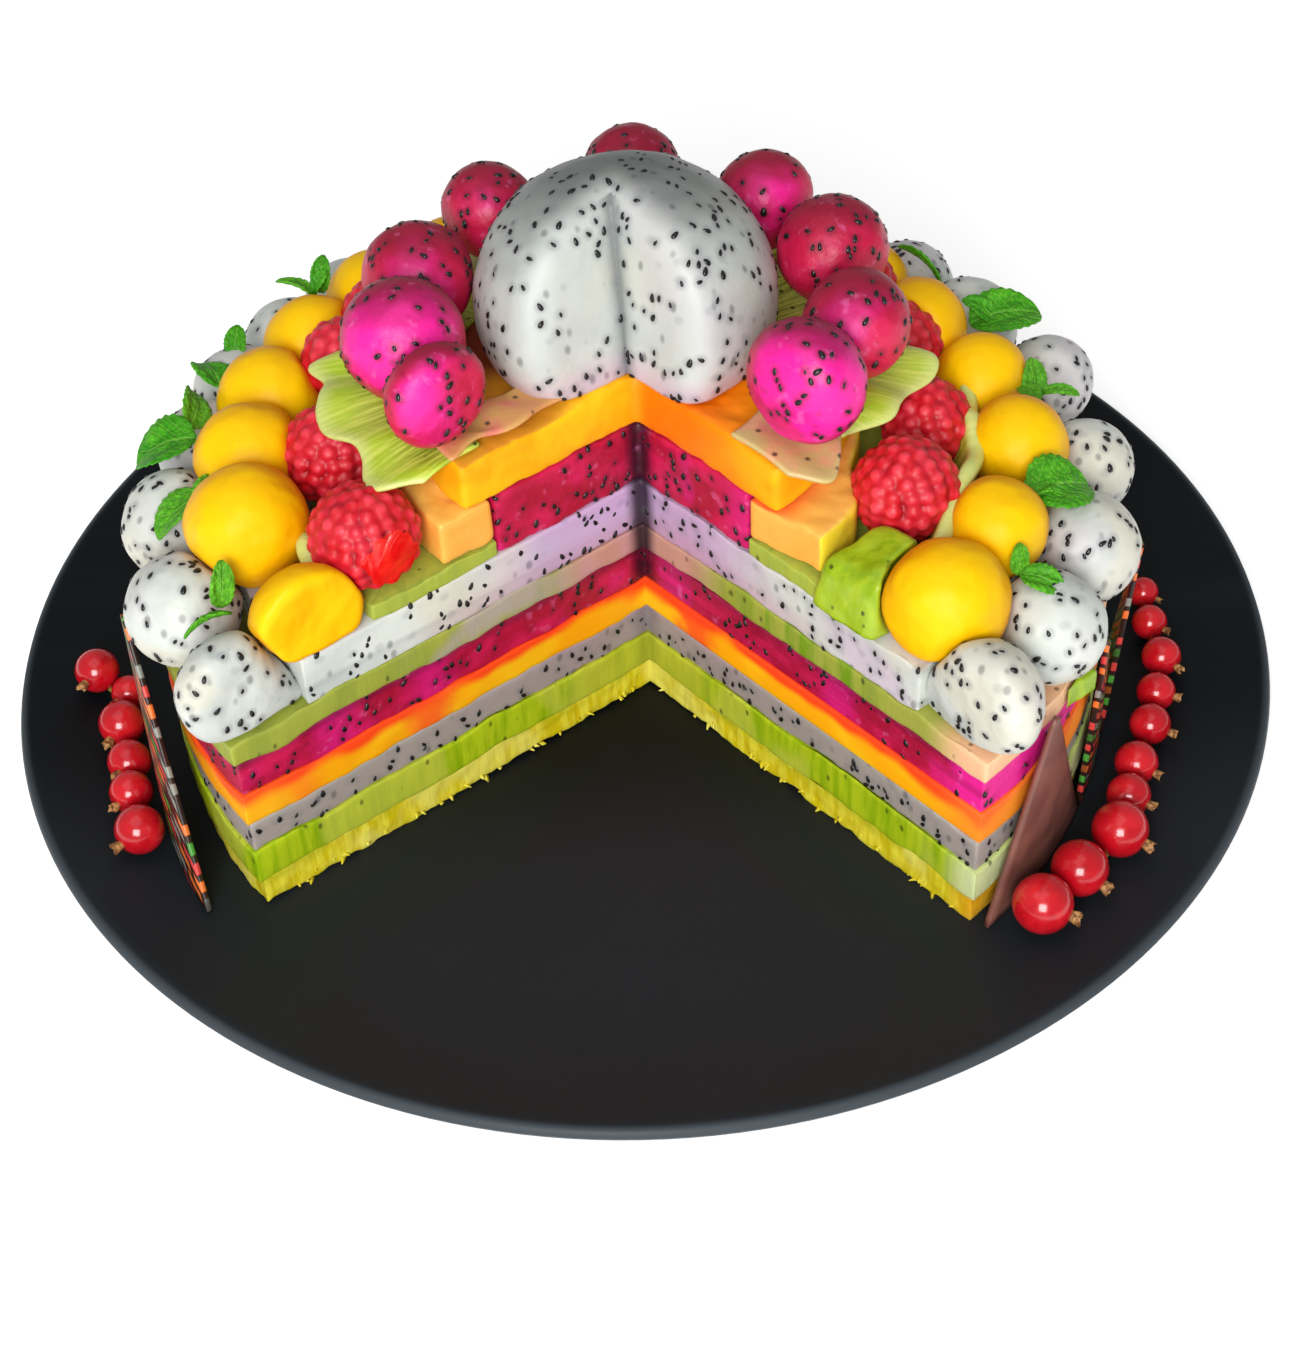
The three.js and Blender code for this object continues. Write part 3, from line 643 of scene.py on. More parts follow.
def mint_leaf():
    """Leaves, on whose map the first axis runs across and the second from stalk to tip."""
    f = Finish("mint leaf")
    across, along, _ = f.axes(f.map())
    across = abs(across - 0.5) * 2.0
    rib = f.rise(across, 0.09, 0.02)
    side = f.rise(((along - across * 0.42) * 38.0).sine(), 0.7, 0.98)
    vein = rib.maths("MAXIMUM", rib, side * f.rise(across, 1.0, 0.7) * 0.7)
    cloud = f.noise(3, 3)
    cell = f.cells(f.place, 1.1)[0]
    f.start(f.rise(cloud, 0.36, 0.66), "mint", "54b41c")
    f.tint(f.attribute("tone") * 0.7, "84cc34")
    f.tint(f.rise(cell, 0.25, 0.75) * 0.45, "267a18")
    f.tint(vein * 0.4, "88c850")
    relief = vein * -0.6 - cell + cloud * 0.4
    return f.done(0.45, f.bump(relief, 0.32), specular=0.24, soft=(0.15, 1.2))


def chocolate_plain():
    f = Finish("chocolate")
    cloud = f.noise(7, 3)
    f.start(f.rise(cloud, 0.35, 0.65), "chocolate", "86564a")
    streak = f.noise(2.6, 3, stretch=(1, 1, 5))
    return f.done(0.3 + cloud * 0.12, f.bump(streak, 0.04), specular=0.45)


def chocolate_dashes():
    """Rows of broad dashes in four colours, set out on the sheet's own map."""
    f = Finish("chocolate with coloured dashes")
    across, along, _ = f.axes(f.map())
    row = along * 15.0 + across * 3.2 + (f.noise(7, 2) - 0.5) * 0.7
    row_number = row.maths("FLOOR", row)
    cell = across * 5.0 + row_number * 0.37
    from_row, from_cell = (abs(place.maths("FRACT", place) - 0.5) for place in (row, cell))
    bar = f.rise(from_row, 0.34, 0.26) * f.rise(from_cell, 0.42, 0.34)
    seed = f.value("ShaderNodeCombineXYZ", {}, {0: row_number, 1: cell.maths("FLOOR", cell)})
    drawn = f.value("ShaderNodeTexWhiteNoise", {"noise_dimensions": "3D"}, {"Vector": seed})
    paint = f.bands(drawn, [(0.0, "4c9a3a"), (0.3, "ef7a35"), (0.55, "d8433f"), (0.78, "8d8f86")])
    ground = f.blend(f.noise(5, 2), "241512", "34201a")
    f.start(bar * f.rise(drawn, 0.03, 0.08), ground, paint)
    return f.done(0.32, f.bump(bar, 0.08), specular=0.45)


def seed_coat():
    f = Finish("black seeds")
    cloud = f.noise(1.5, 2)
    f.start(cloud, "seed", "1d1a1c")
    return f.done(0.28, f.bump(cloud, 0.03), specular=0.5)


# ---------------------------------------------------------------- modelling helpers


def deselect_all():
    if bpy.context.object and bpy.context.object.mode != "OBJECT":
        bpy.ops.object.mode_set(mode="OBJECT")
    bpy.ops.object.select_all(action="DESELECT")


def make_active(piece):
    deselect_all()
    piece.select_set(True)
    bpy.context.view_layer.objects.active = piece


def rest_place(piece):
    """Moves the place and turn of a piece into its mesh."""
    make_active(piece)
    bpy.ops.object.transform_apply(location=True, rotation=True, scale=True)
    return piece


def sphere(radius, centre, fineness):
    deselect_all()
    bpy.ops.mesh.primitive_ico_sphere_add(subdivisions=fineness, radius=radius, location=centre)
    return rest_place(bpy.context.object)


def start_edit(piece):
    """Enters edit mode with the whole piece selected."""
    make_active(piece)
    bpy.ops.object.mode_set(mode="EDIT")
    bpy.ops.mesh.select_all(action="SELECT")


def select(piece, kind, wanted):
    """In edit mode, selects exactly the faces or edges that a test wants."""
    bpy.ops.mesh.select_mode(type=kind)
    bpy.ops.mesh.select_all(action="DESELECT")
    mesh = bmesh.from_edit_mesh(piece.data)
    for part in mesh.faces if kind == "FACE" else mesh.edges:
        if wanted(part):
            part.select_set(True)
    bmesh.update_edit_mesh(piece.data)


def end_edit():
    bpy.ops.object.mode_set(mode="OBJECT")


def apply_modifier(piece, kind, **settings):
    make_active(piece)
    modifier = piece.modifiers.new(kind.title(), kind)
    for key, setting in settings.items():
        setattr(modifier, key, setting)
    bpy.ops.object.modifier_apply(modifier=modifier.name)
    return piece


def uneven(piece, size, amount, direction="NORMAL"):
    """Displaces a piece by smooth noise, in millimetres: the same noise for each piece of one size."""
    texture = bpy.data.textures.new("unevenness", type="CLOUDS")
    texture.noise_scale = size * MM
    texture.noise_depth = 2
    return apply_modifier(
        piece, "DISPLACE", texture=texture, texture_coords="GLOBAL", direction=direction,
        mid_level=0.5, strength=amount * MM,
    )


def remeshed(piece, voxel, rounds):
    """Fuses what overlaps, with cubes of a size in millimetres, and rounds its edges."""
    apply_modifier(piece, "REMESH", mode="VOXEL", voxel_size=voxel * MM)
    return apply_modifier(piece, "SMOOTH", factor=0.5, iterations=rounds)


def store(piece, name, values):
    """Keeps a value for each vertex, which materials can read."""
    attribute = piece.data.attributes.new(name, "FLOAT", "POINT")
    attribute.data.foreach_set("value", np.asarray(values, np.float32))


def shade(piece, angle=None):
    make_active(piece)
    if angle is None:
        bpy.ops.object.shade_smooth()
    else:
        bpy.ops.object.shade_smooth_by_angle(angle=math.radians(angle))
    return piece


def join(pieces):
    make_active(pieces[0])
    for piece in pieces:
        piece.select_set(True)
    bpy.ops.object.join()
    return bpy.context.object


def copies(model, places):
    """One mesh that holds the model once at each place, a 4x4 matrix. The model itself goes."""
    mesh = model.data

    def read(items, key):
        values = np.empty(len(items), int)
        items.foreach_get(key, values)
        return values

    corners = read(mesh.loops, "vertex_index")
    starts = read(mesh.polygons, "loop_start")
    count, faces, amount = len(mesh.vertices), len(starts), len(places)
    points = np.c_[points_of(model), np.ones(count)]
    matrices = np.array([np.array(place) for place in places])
    placed = (points @ matrices.transpose(0, 2, 1))[:, :, :3]
    made = bpy.data.meshes.new(model.name)
    made.vertices.add(count * amount)
    made.vertices.foreach_set("co", placed.ravel())
    made.loops.add(len(corners) * amount)
    made.polygons.add(faces * amount)
    steps = np.arange(amount)[:, None]
    made.loops.foreach_set("vertex_index", (corners + steps * count).ravel())
    made.polygons.foreach_set("loop_start", (starts + steps * len(corners)).ravel())
    made.update(calc_edges=True)
    made.validate()
    made.shade_smooth()
    piece = bpy.data.objects.new(model.name, made)
    bpy.context.scene.collection.objects.link(piece)
    bpy.data.objects.remove(model)
    return piece


def aimed(point, normal, along, size=(1, 1, 1)):
    """A place whose Z is the normal and whose X runs along a direction as nearly as it can."""
    z = normal.normalized()
    x = along - z * along.dot(z)
    if x.length < 1e-6:
        x = z.orthogonal()
    x.normalize()
    y = z.cross(x)
    turn = Matrix((x, y, z)).transposed().to_4x4()
    return Matrix.Translation(point) @ turn @ Matrix.Diagonal((*size, 1))


def coat(piece, *materials):
    """Gives a piece its materials and keeps which face has which."""
    slots = [face.material_index for face in piece.data.polygons]
    piece.data.materials.clear()
    for material in materials:
        piece.data.materials.append(material)
    piece.data.polygons.foreach_set("material_index", slots)
    return piece


def finished(piece, name, slot, materials, *nodes):
    """Names a piece, gives it its materials (unless it has them) and ties it to the part."""
    piece.name = name
    piece.data.name = name
    if materials:
        coat(piece, *materials)
    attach(piece, "root")
    if nodes:
        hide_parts(*nodes)
    return piece


# ---------------------------------------------------------------- the wedge


def wedge_corner(set_back):
    """The inner corner of the cut, moved back into the cake."""
    outward = Vector((math.cos(LEFT_CUT) + math.cos(RIGHT_CUT), math.sin(LEFT_CUT) + math.sin(RIGHT_CUT), 0))
    return APEX - outward.normalized() * set_back


def into_wedge(side):
    """Direction out of a cut face, into the missing wedge."""
    if side == "left":
        return Vector((-math.sin(LEFT_CUT), math.cos(LEFT_CUT), 0))
    return Vector((math.sin(RIGHT_CUT), -math.cos(RIGHT_CUT), 0))


def along_face(side):
    angle = LEFT_CUT if side == "left" else RIGHT_CUT
    return Vector((math.cos(angle), math.sin(angle), 0))


def behind_face(side, distance, inset, height):
    """A place in millimetres: along a cut face, back from it into the cake, and up."""
    point = APEX + (along_face(side) * distance - into_wedge(side) * inset) * MM
    point.z = height * MM
    return point


def side_of(point):
    return "left" if point.x < APEX.x else "right"


def bisect(point, normal, fill=True):
    """In edit mode, cuts the whole mesh and drops what the normal points to."""
    bpy.ops.mesh.select_all(action="SELECT")
    bpy.ops.mesh.bisect(plane_co=point, plane_no=normal, use_fill=fill, clear_outer=fill)


# ---------------------------------------------------------------- layers

OUTLINE_STEP = 1.3 * MM
HEIGHT_STEP = 1.1 * MM


def layer_blank(centre, radius, inner, bottom, top, set_back):
    """A disc or a ring with the wedge missing, as tall as its layer."""
    deselect_all()
    around = round(2 * math.pi * radius / OUTLINE_STEP)
    bpy.ops.mesh.primitive_circle_add(
        vertices=around, radius=radius, fill_type="NGON", location=(centre.x, centre.y, bottom)
    )
    piece = rest_place(bpy.context.object)
    start_edit(piece)
    if inner:
        select(piece, "FACE", lambda face: True)
        bpy.ops.mesh.inset(thickness=radius - inner)
        select(piece, "FACE", lambda face: len(face.verts) == around)
        bpy.ops.mesh.delete(type="FACE")
    corner = wedge_corner(set_back)
    sides = ("left", "right")
    for side in sides:
        bisect(corner, into_wedge(side), fill=False)

    def in_wedge(face):
        middle = face.calc_center_median() - corner
        return all(middle.dot(into_wedge(side)) > 0 for side in sides)

    select(piece, "FACE", in_wedge)
    bpy.ops.mesh.delete(type="FACE")
    select(piece, "FACE", lambda face: True)
    bpy.ops.mesh.dissolve_faces()
    select(piece, "FACE", lambda face: True)
    bpy.ops.mesh.delete(type="ONLY_FACE")

    def on_cut(edge):
        def near(point, side):
            offset = point - corner
            return abs(offset.dot(into_wedge(side))) < 1e-6 and offset.dot(along_face(side)) > -1e-6

        return any(all(near(end.co, side) for end in edge.verts) for side in sides)

    select(piece, "EDGE", on_cut)
    bpy.ops.mesh.subdivide(number_cuts=round((radius - inner) / OUTLINE_STEP) - 1)
    bpy.ops.mesh.select_all(action="SELECT")
    bpy.ops.mesh.edge_face_add()
    steps = max(3, round((top - bottom) / HEIGHT_STEP))
    select(piece, "FACE", lambda face: True)
    for _ in range(steps):
        bpy.ops.mesh.extrude_region_move(TRANSFORM_OT_translate={"value": (0, 0, (top - bottom) / steps)})
    bpy.ops.mesh.select_all(action="SELECT")
    bpy.ops.mesh.normals_make_consistent(inside=False)
    bpy.ops.mesh.select_all(action="DESELECT")
    bpy.ops.mesh.select_mode(type="EDGE")
    bpy.ops.mesh.edges_select_sharp(sharpness=math.radians(50))
    bpy.ops.mesh.bevel(offset=0.35 * MM, segments=2, affect="EDGES")
    end_edit()
    return piece


def settled(piece, fibrous):
    """Gives a layer the shared waves of the stack and its own uneven cut, and rests it on the plate."""
    for size, height in WAVES:
        uneven(piece, size, height, "Z")
    uneven(piece, *((2.6, 1.1) if fibrous else (6, 0.5)))
    return shade(above(piece, PLATE_FLOOR), 45)


def above(piece, floor):
    """Moves every point that lies below a height up to it."""
    for vertex in piece.data.vertices:
        vertex.co.z = max(vertex.co.z, floor)
    return piece


class FruitCakeSizes(bpy.types.PropertyGroup):
    """Sizes that set the fineness of the fruit's surface."""

    seed_length: bpy.props.FloatProperty(
        name="Seed length", description="Length of a dragon fruit seed", default=1.7 * MM, unit="LENGTH"
    )
    drupelet: bpy.props.FloatProperty(
        name="Drupelet", description="Width of a raspberry's drupelet", default=3.5 * MM, unit="LENGTH"
    )
    plate_radius: bpy.props.FloatProperty(
        name="Plate radius", description="Outer radius of the plate",
        default=node_box("plate")[1].x, unit="LENGTH",
    )


def colour_property(name, description, text):
    return bpy.props.FloatVectorProperty(
        name=name, description=description, subtype="COLOR", size=4, min=0, max=1, default=hue(text)
    )


class FruitCakeColours(bpy.types.PropertyGroup):
    """Main colours of the fruit and the plate."""

    glaze: colour_property("Glaze", "Dark colour of the plate", "07090b")
    white_flesh: colour_property("White flesh", "Flesh of the white dragon fruit", "d6dad2")
    red_flesh: colour_property("Red flesh", "Lit flesh of the red dragon fruit", "f61a9c")
    red_shade: colour_property("Red shade", "Shaded flesh of the red dragon fruit", "c20f42")
    mango_flesh: colour_property("Mango", "Lit flesh of the mango balls", "ffc900")
    mango_shade: colour_property("Mango shade", "Lower flesh of the mango balls", "ec8c00")
    raspberry: colour_property("Raspberry", "Skin of the raspberries", "cf1424")
    redcurrant: colour_property("Redcurrant", "Skin of the redcurrants", "bf0d1d")
    mint: colour_property("Mint", "Mint leaves", "38980c")
    chocolate: colour_property("Chocolate", "Outer side of the chocolate", "744840")
    seed: colour_property("Seeds", "Black seeds", "0b090b")


made_materials = {}


def material(recipe, *choices):
    """A material made once by its recipe and shared by the pieces of that finish."""
    key = (recipe.__name__, *choices)
    if key not in made_materials:
        made_materials[key] = recipe(*choices)
    return made_materials[key]


# ---------------------------------------------------------------- operators


class FRUITCAKE_OT_plate(bpy.types.Operator):
    """Spin the plate's section round its axis"""

    bl_idname = "fruitcake.plate"
    bl_label = "Plate"

    def execute(self, context):
        radius = context.scene.fruit_cake_sizes.plate_radius / MM
        section = [
            (0, 2.6), (60, 2.6), (79.5, 2.5), (81.8, 0.5), (83, 0), (87, 0), (88.4, 0.5), (91, 2.5),
            (107, 3.4), (121, 5.4), (radius - 3, 7.6), (radius - 0.8, 8.9), (radius, 10.3),
            (radius - 0.5, 11.6), (radius - 1.6, 12), (radius - 4, 11.3), (121, 9), (114, 7.8),
            (107, 7.1), (98, 7), (40, 7), (0, 7),
        ]
        deselect_all()
        bpy.ops.mesh.primitive_circle_add(vertices=len(section), radius=radius * MM)
        piece = bpy.context.object
        start_edit(piece)
        mesh = bmesh.from_edit_mesh(piece.data)
        for vertex, (x, z) in zip(mesh.verts, section):
            vertex.co = Vector((x, 0, z)) * MM
        axis_edge = [edge for edge in mesh.edges if all(abs(end.co.x) < 1e-9 for end in edge.verts)]
        bmesh.ops.delete(mesh, geom=axis_edge, context="EDGES")
        bmesh.update_edit_mesh(piece.data)
        bpy.ops.mesh.select_all(action="SELECT")
        bpy.ops.mesh.spin(steps=192, angle=2 * math.pi, center=(0, 0, 0), axis=(0, 0, 1))
        bpy.ops.mesh.select_all(action="SELECT")
        bpy.ops.mesh.remove_doubles(threshold=1e-6)
        bpy.ops.mesh.normals_make_consistent(inside=False)
        end_edit()
        shade(piece, 50)
        finished(piece, "glazed_plate", "plate_glaze", [material(glaze)], "plate")
        return {"FINISHED"}


class FRUITCAKE_OT_layers(bpy.types.Operator):
    """Build the sliced layers with the wedge missing"""

    bl_idname = "fruitcake.layers"
    bl_label = "Layers"

    def execute(self, context):
        looks = {
            "pineapple": ("pineapple", material(pineapple_flesh)),
            "kiwi": ("kiwi", material(kiwi_layers)),
            "white": ("white_dragon_fruit", material(white_flesh, True)),
            "mango": ("mango", material(mango_layers)),
            "red": ("red_dragon_fruit", material(red_flesh, True)),
            "melon": ("melon", material(melon_flesh)),
        }
        for node, (radius, inner, set_back, rounding) in LAYERS.items():
            fruit = node.split("_")[1]
            piece = layer_blank(
                TOP_LAYER if node == "layer_mango_upper" else CAKE, radius * MM, inner * MM,
                bottom_of(node) - GAP / 3, top_of(node) + GAP / 3, set_back * MM,
            )
            if rounding:
                remeshed(piece, 0.6, rounding)
            if fruit == "melon":
                self.lengthen(piece)
            settled(piece, fruit == "pineapple")
            slot, look = looks[fruit]
            finished(piece, node.replace("layer", "slices"), slot, [look], node)
        self.shreds(*looks["pineapple"])
        return {"FINISHED"}

    @staticmethod
    def lengthen(piece):
        """Draws the melon's right end out along the cut and sets its corner back."""
        along, outward = along_face("right"), into_wedge("right")
        for vertex in piece.data.vertices:
            offset = (vertex.co - APEX) / MM
            share = smooth_step(32, 42, offset.dot(along)) * smooth_step(24, 10, -offset.dot(outward))
            vertex.co += (along * 5.5 - outward * 1.8) * share * MM

    @staticmethod
    def shreds(slot, look):
        """Fine fibres of pineapple along the foot of both cut faces."""
        draw = random.Random(3)
        deselect_all()
        bpy.ops.mesh.primitive_cone_add(vertices=4, radius1=0.5, radius2=0.12, depth=1, location=(0, 0, 0.4))
        model = rest_place(bpy.context.object)
        places = []
        for side in ["left"] * 30 + ["right"] * 30:
            distance, inset, lift = draw.uniform(2, 94), draw.uniform(0.6, 1.2), draw.uniform(0.2, 2.2)
            root = behind_face(side, distance, inset, PLATE_FLOOR / MM + lift)
            heading = into_wedge(side) + along_face(side) * draw.uniform(-1.1, 1.1)
            heading.z = draw.uniform(-0.5, 0.05)
            length = draw.uniform(0.6, 1.8) * MM
            width = draw.uniform(0.7, 1.7) * MM
            places.append(aimed(root, heading, UP, (width * 0.6, width, length)))
        piece = above(copies(model, places), PLATE_FLOOR + 0.05 * MM)
        finished(piece, "pineapple_shreds", slot, [look])


def soft_most(a, b, width):
    """The larger of two distances, blended where they are within a width of each other."""
    share = np.clip(width - np.abs(a - b), 0, None) / width
    return np.maximum(a, b) + share**2 * width / 4


def soft_least(a, b, width):
    return -soft_most(-a, -b, width)


def shaped(heart, reach, outside, fineness):
    """A closed skin round a heart: an ico sphere whose points lie where a distance passes 0."""
    piece = sphere(1, (0, 0, 0), fineness)
    rays = points_of(piece)
    heart = np.array(heart)
    near, far = np.zeros(len(rays)), np.full(len(rays), reach)
    for _ in range(26):
        middle = (near + far) / 2
        inside = outside(heart + rays * middle[:, None]) < 0
        near, far = np.where(inside, middle, near), np.where(inside, far, middle)
    piece.data.vertices.foreach_set("co", (heart + rays * near[:, None]).ravel())
    piece.data.update()
    return piece


def flats(ball, others, seat, cut_softness):
    """What flattens a ball: a point, the outward direction and how soft the edge is, for each."""
    centre, radius = ball
    found = []
    for other_centre, other_radius in others:
        between = other_centre - centre
        distance = between.length
        if distance < 1e-6 or distance >= radius + other_radius + GAP:
            continue
        facet = (distance**2 + radius**2 - other_radius**2) / (2 * distance) - GAP / 3
        found.append((centre + between / distance * facet, between / distance, 1.4 * MM))
    outward = into_wedge(side_of(centre))
    if centre.y < APEX.y and (APEX - centre).dot(outward) < radius:
        found.append((APEX, outward, cut_softness))
    if seat is not None and seat > centre.z - radius - GAP:
        found.append((Vector((0, 0, seat)), -UP, 2.0 * MM))
    return found


def fruit_ball(ball, others, seat, cut_softness, lump=None, fineness=6):
    """A ball of flesh, pressed flat by its neighbours and softly cut, with a lump grown to it."""
    centre, radius = ball
    planes = flats(ball, others, seat, cut_softness)
    heart = centre.copy()
    for _ in range(8):
        for point, outward, _ in planes:
            heart -= outward * max(0.0, (heart - point).dot(outward) + 0.3 * radius)

    def outside(points):
        distance = np.linalg.norm(points - np.array(centre), axis=1) - radius
        if lump:
            from_lump = np.linalg.norm(points - np.array(lump[0]), axis=1) - lump[1]
            distance = soft_least(distance, from_lump, 5 * MM)
        for point, outward, softness in planes:
            distance = soft_most(distance, (points - np.array(point)) @ np.array(outward), softness)
        return distance

    return shaped(heart, 2.5 * radius, outside, fineness)


class FRUITCAKE_OT_balls(bpy.types.Operator):
    """Set the rings of white, mango and red balls"""

    bl_idname = "fruitcake.balls"
    bl_label = "Fruit balls"

    # The two white balls at the cut spread onto the layer: distance along the cut, inset, height, radius.
    LUMPS = {"white_ball_1": ("left", 84, 6.8, 58.4, 8.2), "white_ball_4": ("right", 79.5, 7.2, 58.2, 7.6)}
    SHIFTS = {"white_ball_1": Vector((0.6, -1.0, -3.0)) * MM, "white_ball_4": Vector((0, -0.6, -2.0)) * MM}
    # How far each red ball is painted towards its shaded crimson colour, as painted shade: 0 for lit pink.
    CRIMSON = (0.7, 0.2, 0.75, 0.9, 0.95, 0.7, 1.15, 0.9, 0.05)

    def execute(self, context):
        white = front_balls("white_ball", 8)
        for index, (centre, radius) in enumerate(white):
            white[index] = (centre + self.SHIFTS.get(f"white_ball_{index + 1}", Vector()), radius)
        mango, pink = front_balls("mango_ball", 8), front_balls("pink_ball", 9)
        white_back, mango_back = back_balls("white", BALL_SEAT), back_balls("mango", MANGO_SEAT)
        berries = front_balls("raspberry", 5) + back_balls("raspberry", BERRY_SEAT, BERRY_HEIGHT)
        everything = white + mango + pink + white_back + mango_back + berries
        rings = [
            ("white_ball", white, white_back, BALL_SEAT, 7, "white_dragon_fruit", material(white_flesh, False)),
            ("mango_ball", mango, mango_back, MANGO_SEAT, 2, "mango", material(mango_flesh)),
            ("pink_ball", pink, [], None, 10, "red_dragon_fruit", material(red_flesh, False)),
        ]
        for name, front, _, seat, softness, slot, look in rings:
            for index, ball in enumerate(front):
                node = f"{name}_{index + 1}"
                piece = fruit_ball(ball, everything, seat, softness * MM, self.lump(node))
                uneven(piece, 13, 1.3)
                uneven(piece, 5, 0.35)
                if name == "pink_ball":
                    # Each ball's share of painted shade, towards its shaded crimson colour.
                    store(piece, "crimson", [self.CRIMSON[index]] * len(piece.data.vertices))
                shade(piece)
                finished(piece, f"{name}_whole_{index + 1}", slot, [look], node)
        for name, _, back, seat, _, slot, look in rings[:2]:
            piece = join([fruit_ball(ball, everything, seat, 2 * MM, fineness=5) for ball in back])
            uneven(piece, 13, 1.1)
            shade(piece)
            finished(piece, f"{name}s_run", slot, [look], f"{name}s_back")
        return {"FINISHED"}

    def lump(self, node):
        if node not in self.LUMPS:
            return None
        *place, radius = self.LUMPS[node]
        return behind_face(*place), radius * MM


class FRUITCAKE_OT_dome(bpy.types.Operator):
    """Shape the half dragon fruit on top, with its soft notch"""

    bl_idname = "fruitcake.dome"
    bl_label = "Dome"

    WIDEST = 99.5 * MM
    ROUNDING = 6.5 * MM
    CREASE_FOOT = APEX + Vector((-1.6, 0.6, 0)) * MM
    CREASE_LEAN = Vector((-1.6, 9, 0)) * MM

    def execute(self, context):
        low, high = node_box("dome_white_dragon")
        radius = (high.x - low.x) / 2
        centre = np.array(((high.x + low.x) / 2, high.y - radius, self.WIDEST))
        height = high.z - centre[2]

        def outside(points):
            return self.outside(points, centre, radius, height, low.z)

        piece = shaped(Vector((-0.4, 6, 97)) * MM, 80 * MM, outside, 7)
        left, right = self.past_cuts(points_of(piece), low.z)
        # How near each point lies to the crease of the notch, which the white flesh darkens as painted shade.
        near = np.clip(1 - np.abs(left - right) / (5 * MM), 0, 1)
        store(piece, "crease", near**2 * (np.minimum(left, right) > -1 * MM))
        uneven(piece, 17, 1.2)
        shade(piece)
        finished(
            piece, "dragon_fruit_dome", "white_dragon_fruit", [material(white_flesh, False)],
            "dome_white_dragon",
        )
        return {"FINISHED"}

    def outside(self, points, centre, radius, height, base):
        """Distance out of the dome: the ball, less the wedge whose corner leans back as it rises."""
        scaled = (points - centre) / np.array((radius, radius, height))
        ball = (np.linalg.norm(scaled, axis=1) - 1) * radius
        carved = soft_most(ball, np.minimum(*self.past_cuts(points, base)), self.ROUNDING)
        return soft_most(carved, base - points[:, 2], 1.5 * MM)

    def past_cuts(self, points, base):
        """Distances into the notch past each of its two faces."""
        lean = np.clip((points[:, 2] - base) / (32 * MM), 0, 1.2) ** 1.4
        offset = points - np.array(self.CREASE_FOOT) - lean[:, None] * np.array(self.CREASE_LEAN)
        return offset @ np.array(into_wedge("left")), offset @ np.array(into_wedge("right"))


def raspberry_places(centre, radius, pitch, draw):
    """Places of one berry's drupelets, in rows from the tip down."""
    places = []
    depth = pitch * 0.42
    rows = round(math.pi * radius / (pitch * 0.88))
    for row in range(rows + 1):
        angle = math.pi * row / rows
        around, up = math.sin(angle), math.cos(angle)
        belt = around * (1 - 0.1 * up)
        count = max(1, round(2 * math.pi * belt * radius / pitch))
        for step in range(count):
            turn = 2 * math.pi * (step + 0.5 * (row % 2) + draw.uniform(-0.14, 0.14)) / count
            level = Vector((math.cos(turn), math.sin(turn), 0))
            reach = radius - depth + draw.uniform(-0.12, 0.12) * MM
            point = centre + level * belt * reach
            point.z += up * (radius * BERRY_HEIGHT - depth)
            size = pitch * 0.55 * draw.uniform(0.92, 1.1)
            heading = level * around + Vector((0, 0, up))
            places.append(aimed(point, heading, UP, (size, size, size * 0.95)))
    return places


def raspberry(balls, pitch, voxel, draw):
    """One mesh of berries: a core under a skin of fused drupelets."""
    model = sphere(1, (0, 0, 0), 2)
    places = []
    for centre, radius in balls:
        places += raspberry_places(centre, radius, pitch, draw)
    skin = copies(model, places)
    cores = []
    for centre, radius in balls:
        core = sphere(radius - pitch * 0.48, centre, 3)
        core.scale.z = BERRY_HEIGHT
        core.location.z = centre.z * (1 - BERRY_HEIGHT)
        cores.append(rest_place(core))
    return remeshed(join([skin, *cores]), voxel, 1)


def set_depth(piece, balls, pitch):
    """Stores how far out each point of a berry lies, from its creases (0) to its tips (1)."""
    points = points_of(piece)
    depth = np.full(len(points), -1.0)
    for centre, radius in balls:
        offset = points - np.array(centre)
        offset[:, 2] /= BERRY_HEIGHT
        distance = np.linalg.norm(offset, axis=1)
        up = offset[:, 2] / np.maximum(distance, 1e-9)
        local = radius * (1 - 0.1 * up * (1 - up**2))
        share = (distance - (local - pitch * 0.36)) / (pitch * 0.5)
        near = share < 1.6
        depth[near] = np.maximum(depth[near], share[near])
    store(piece, "depth", np.clip(depth, 0, 1))


class FRUITCAKE_OT_raspberries(bpy.types.Operator):
    """Cover the raspberries in fused drupelets"""

    bl_idname = "fruitcake.raspberries"
    bl_label = "Raspberries"

    def execute(self, context):
        draw = random.Random(7)
        pitch = context.scene.fruit_cake_sizes.drupelet
        look = [material(berry_skin, False), material(berry_skin, True)]
        for index, (centre, radius) in enumerate(front_balls("raspberry", 5)):
            node = f"raspberry_{index + 1}"
            radius *= 1.03
            piece = raspberry([(centre, radius)], pitch, 0.42, draw)
            side = side_of(centre)
            if (APEX - centre).dot(into_wedge(side)) < radius and centre.y < APEX.y:
                start_edit(piece)
                bisect(APEX, into_wedge(side))
                end_edit()
                for face in piece.data.polygons:
                    if face.normal.dot(into_wedge(side)) > 0.99 and len(face.vertices) > 8:
                        face.material_index = 1
            set_depth(piece, [(centre, radius)], pitch)
            shade(piece, 60)
            finished(piece, f"raspberry_whole_{index + 1}", "raspberry", look, node)
        balls = back_balls("raspberry", BERRY_SEAT, BERRY_HEIGHT)
        piece = raspberry(balls, pitch, 0.6, draw)
        set_depth(piece, balls, pitch)
        shade(piece)
        finished(piece, "raspberries_run", "raspberry", look[:1], "raspberries_back")
        return {"FINISHED"}


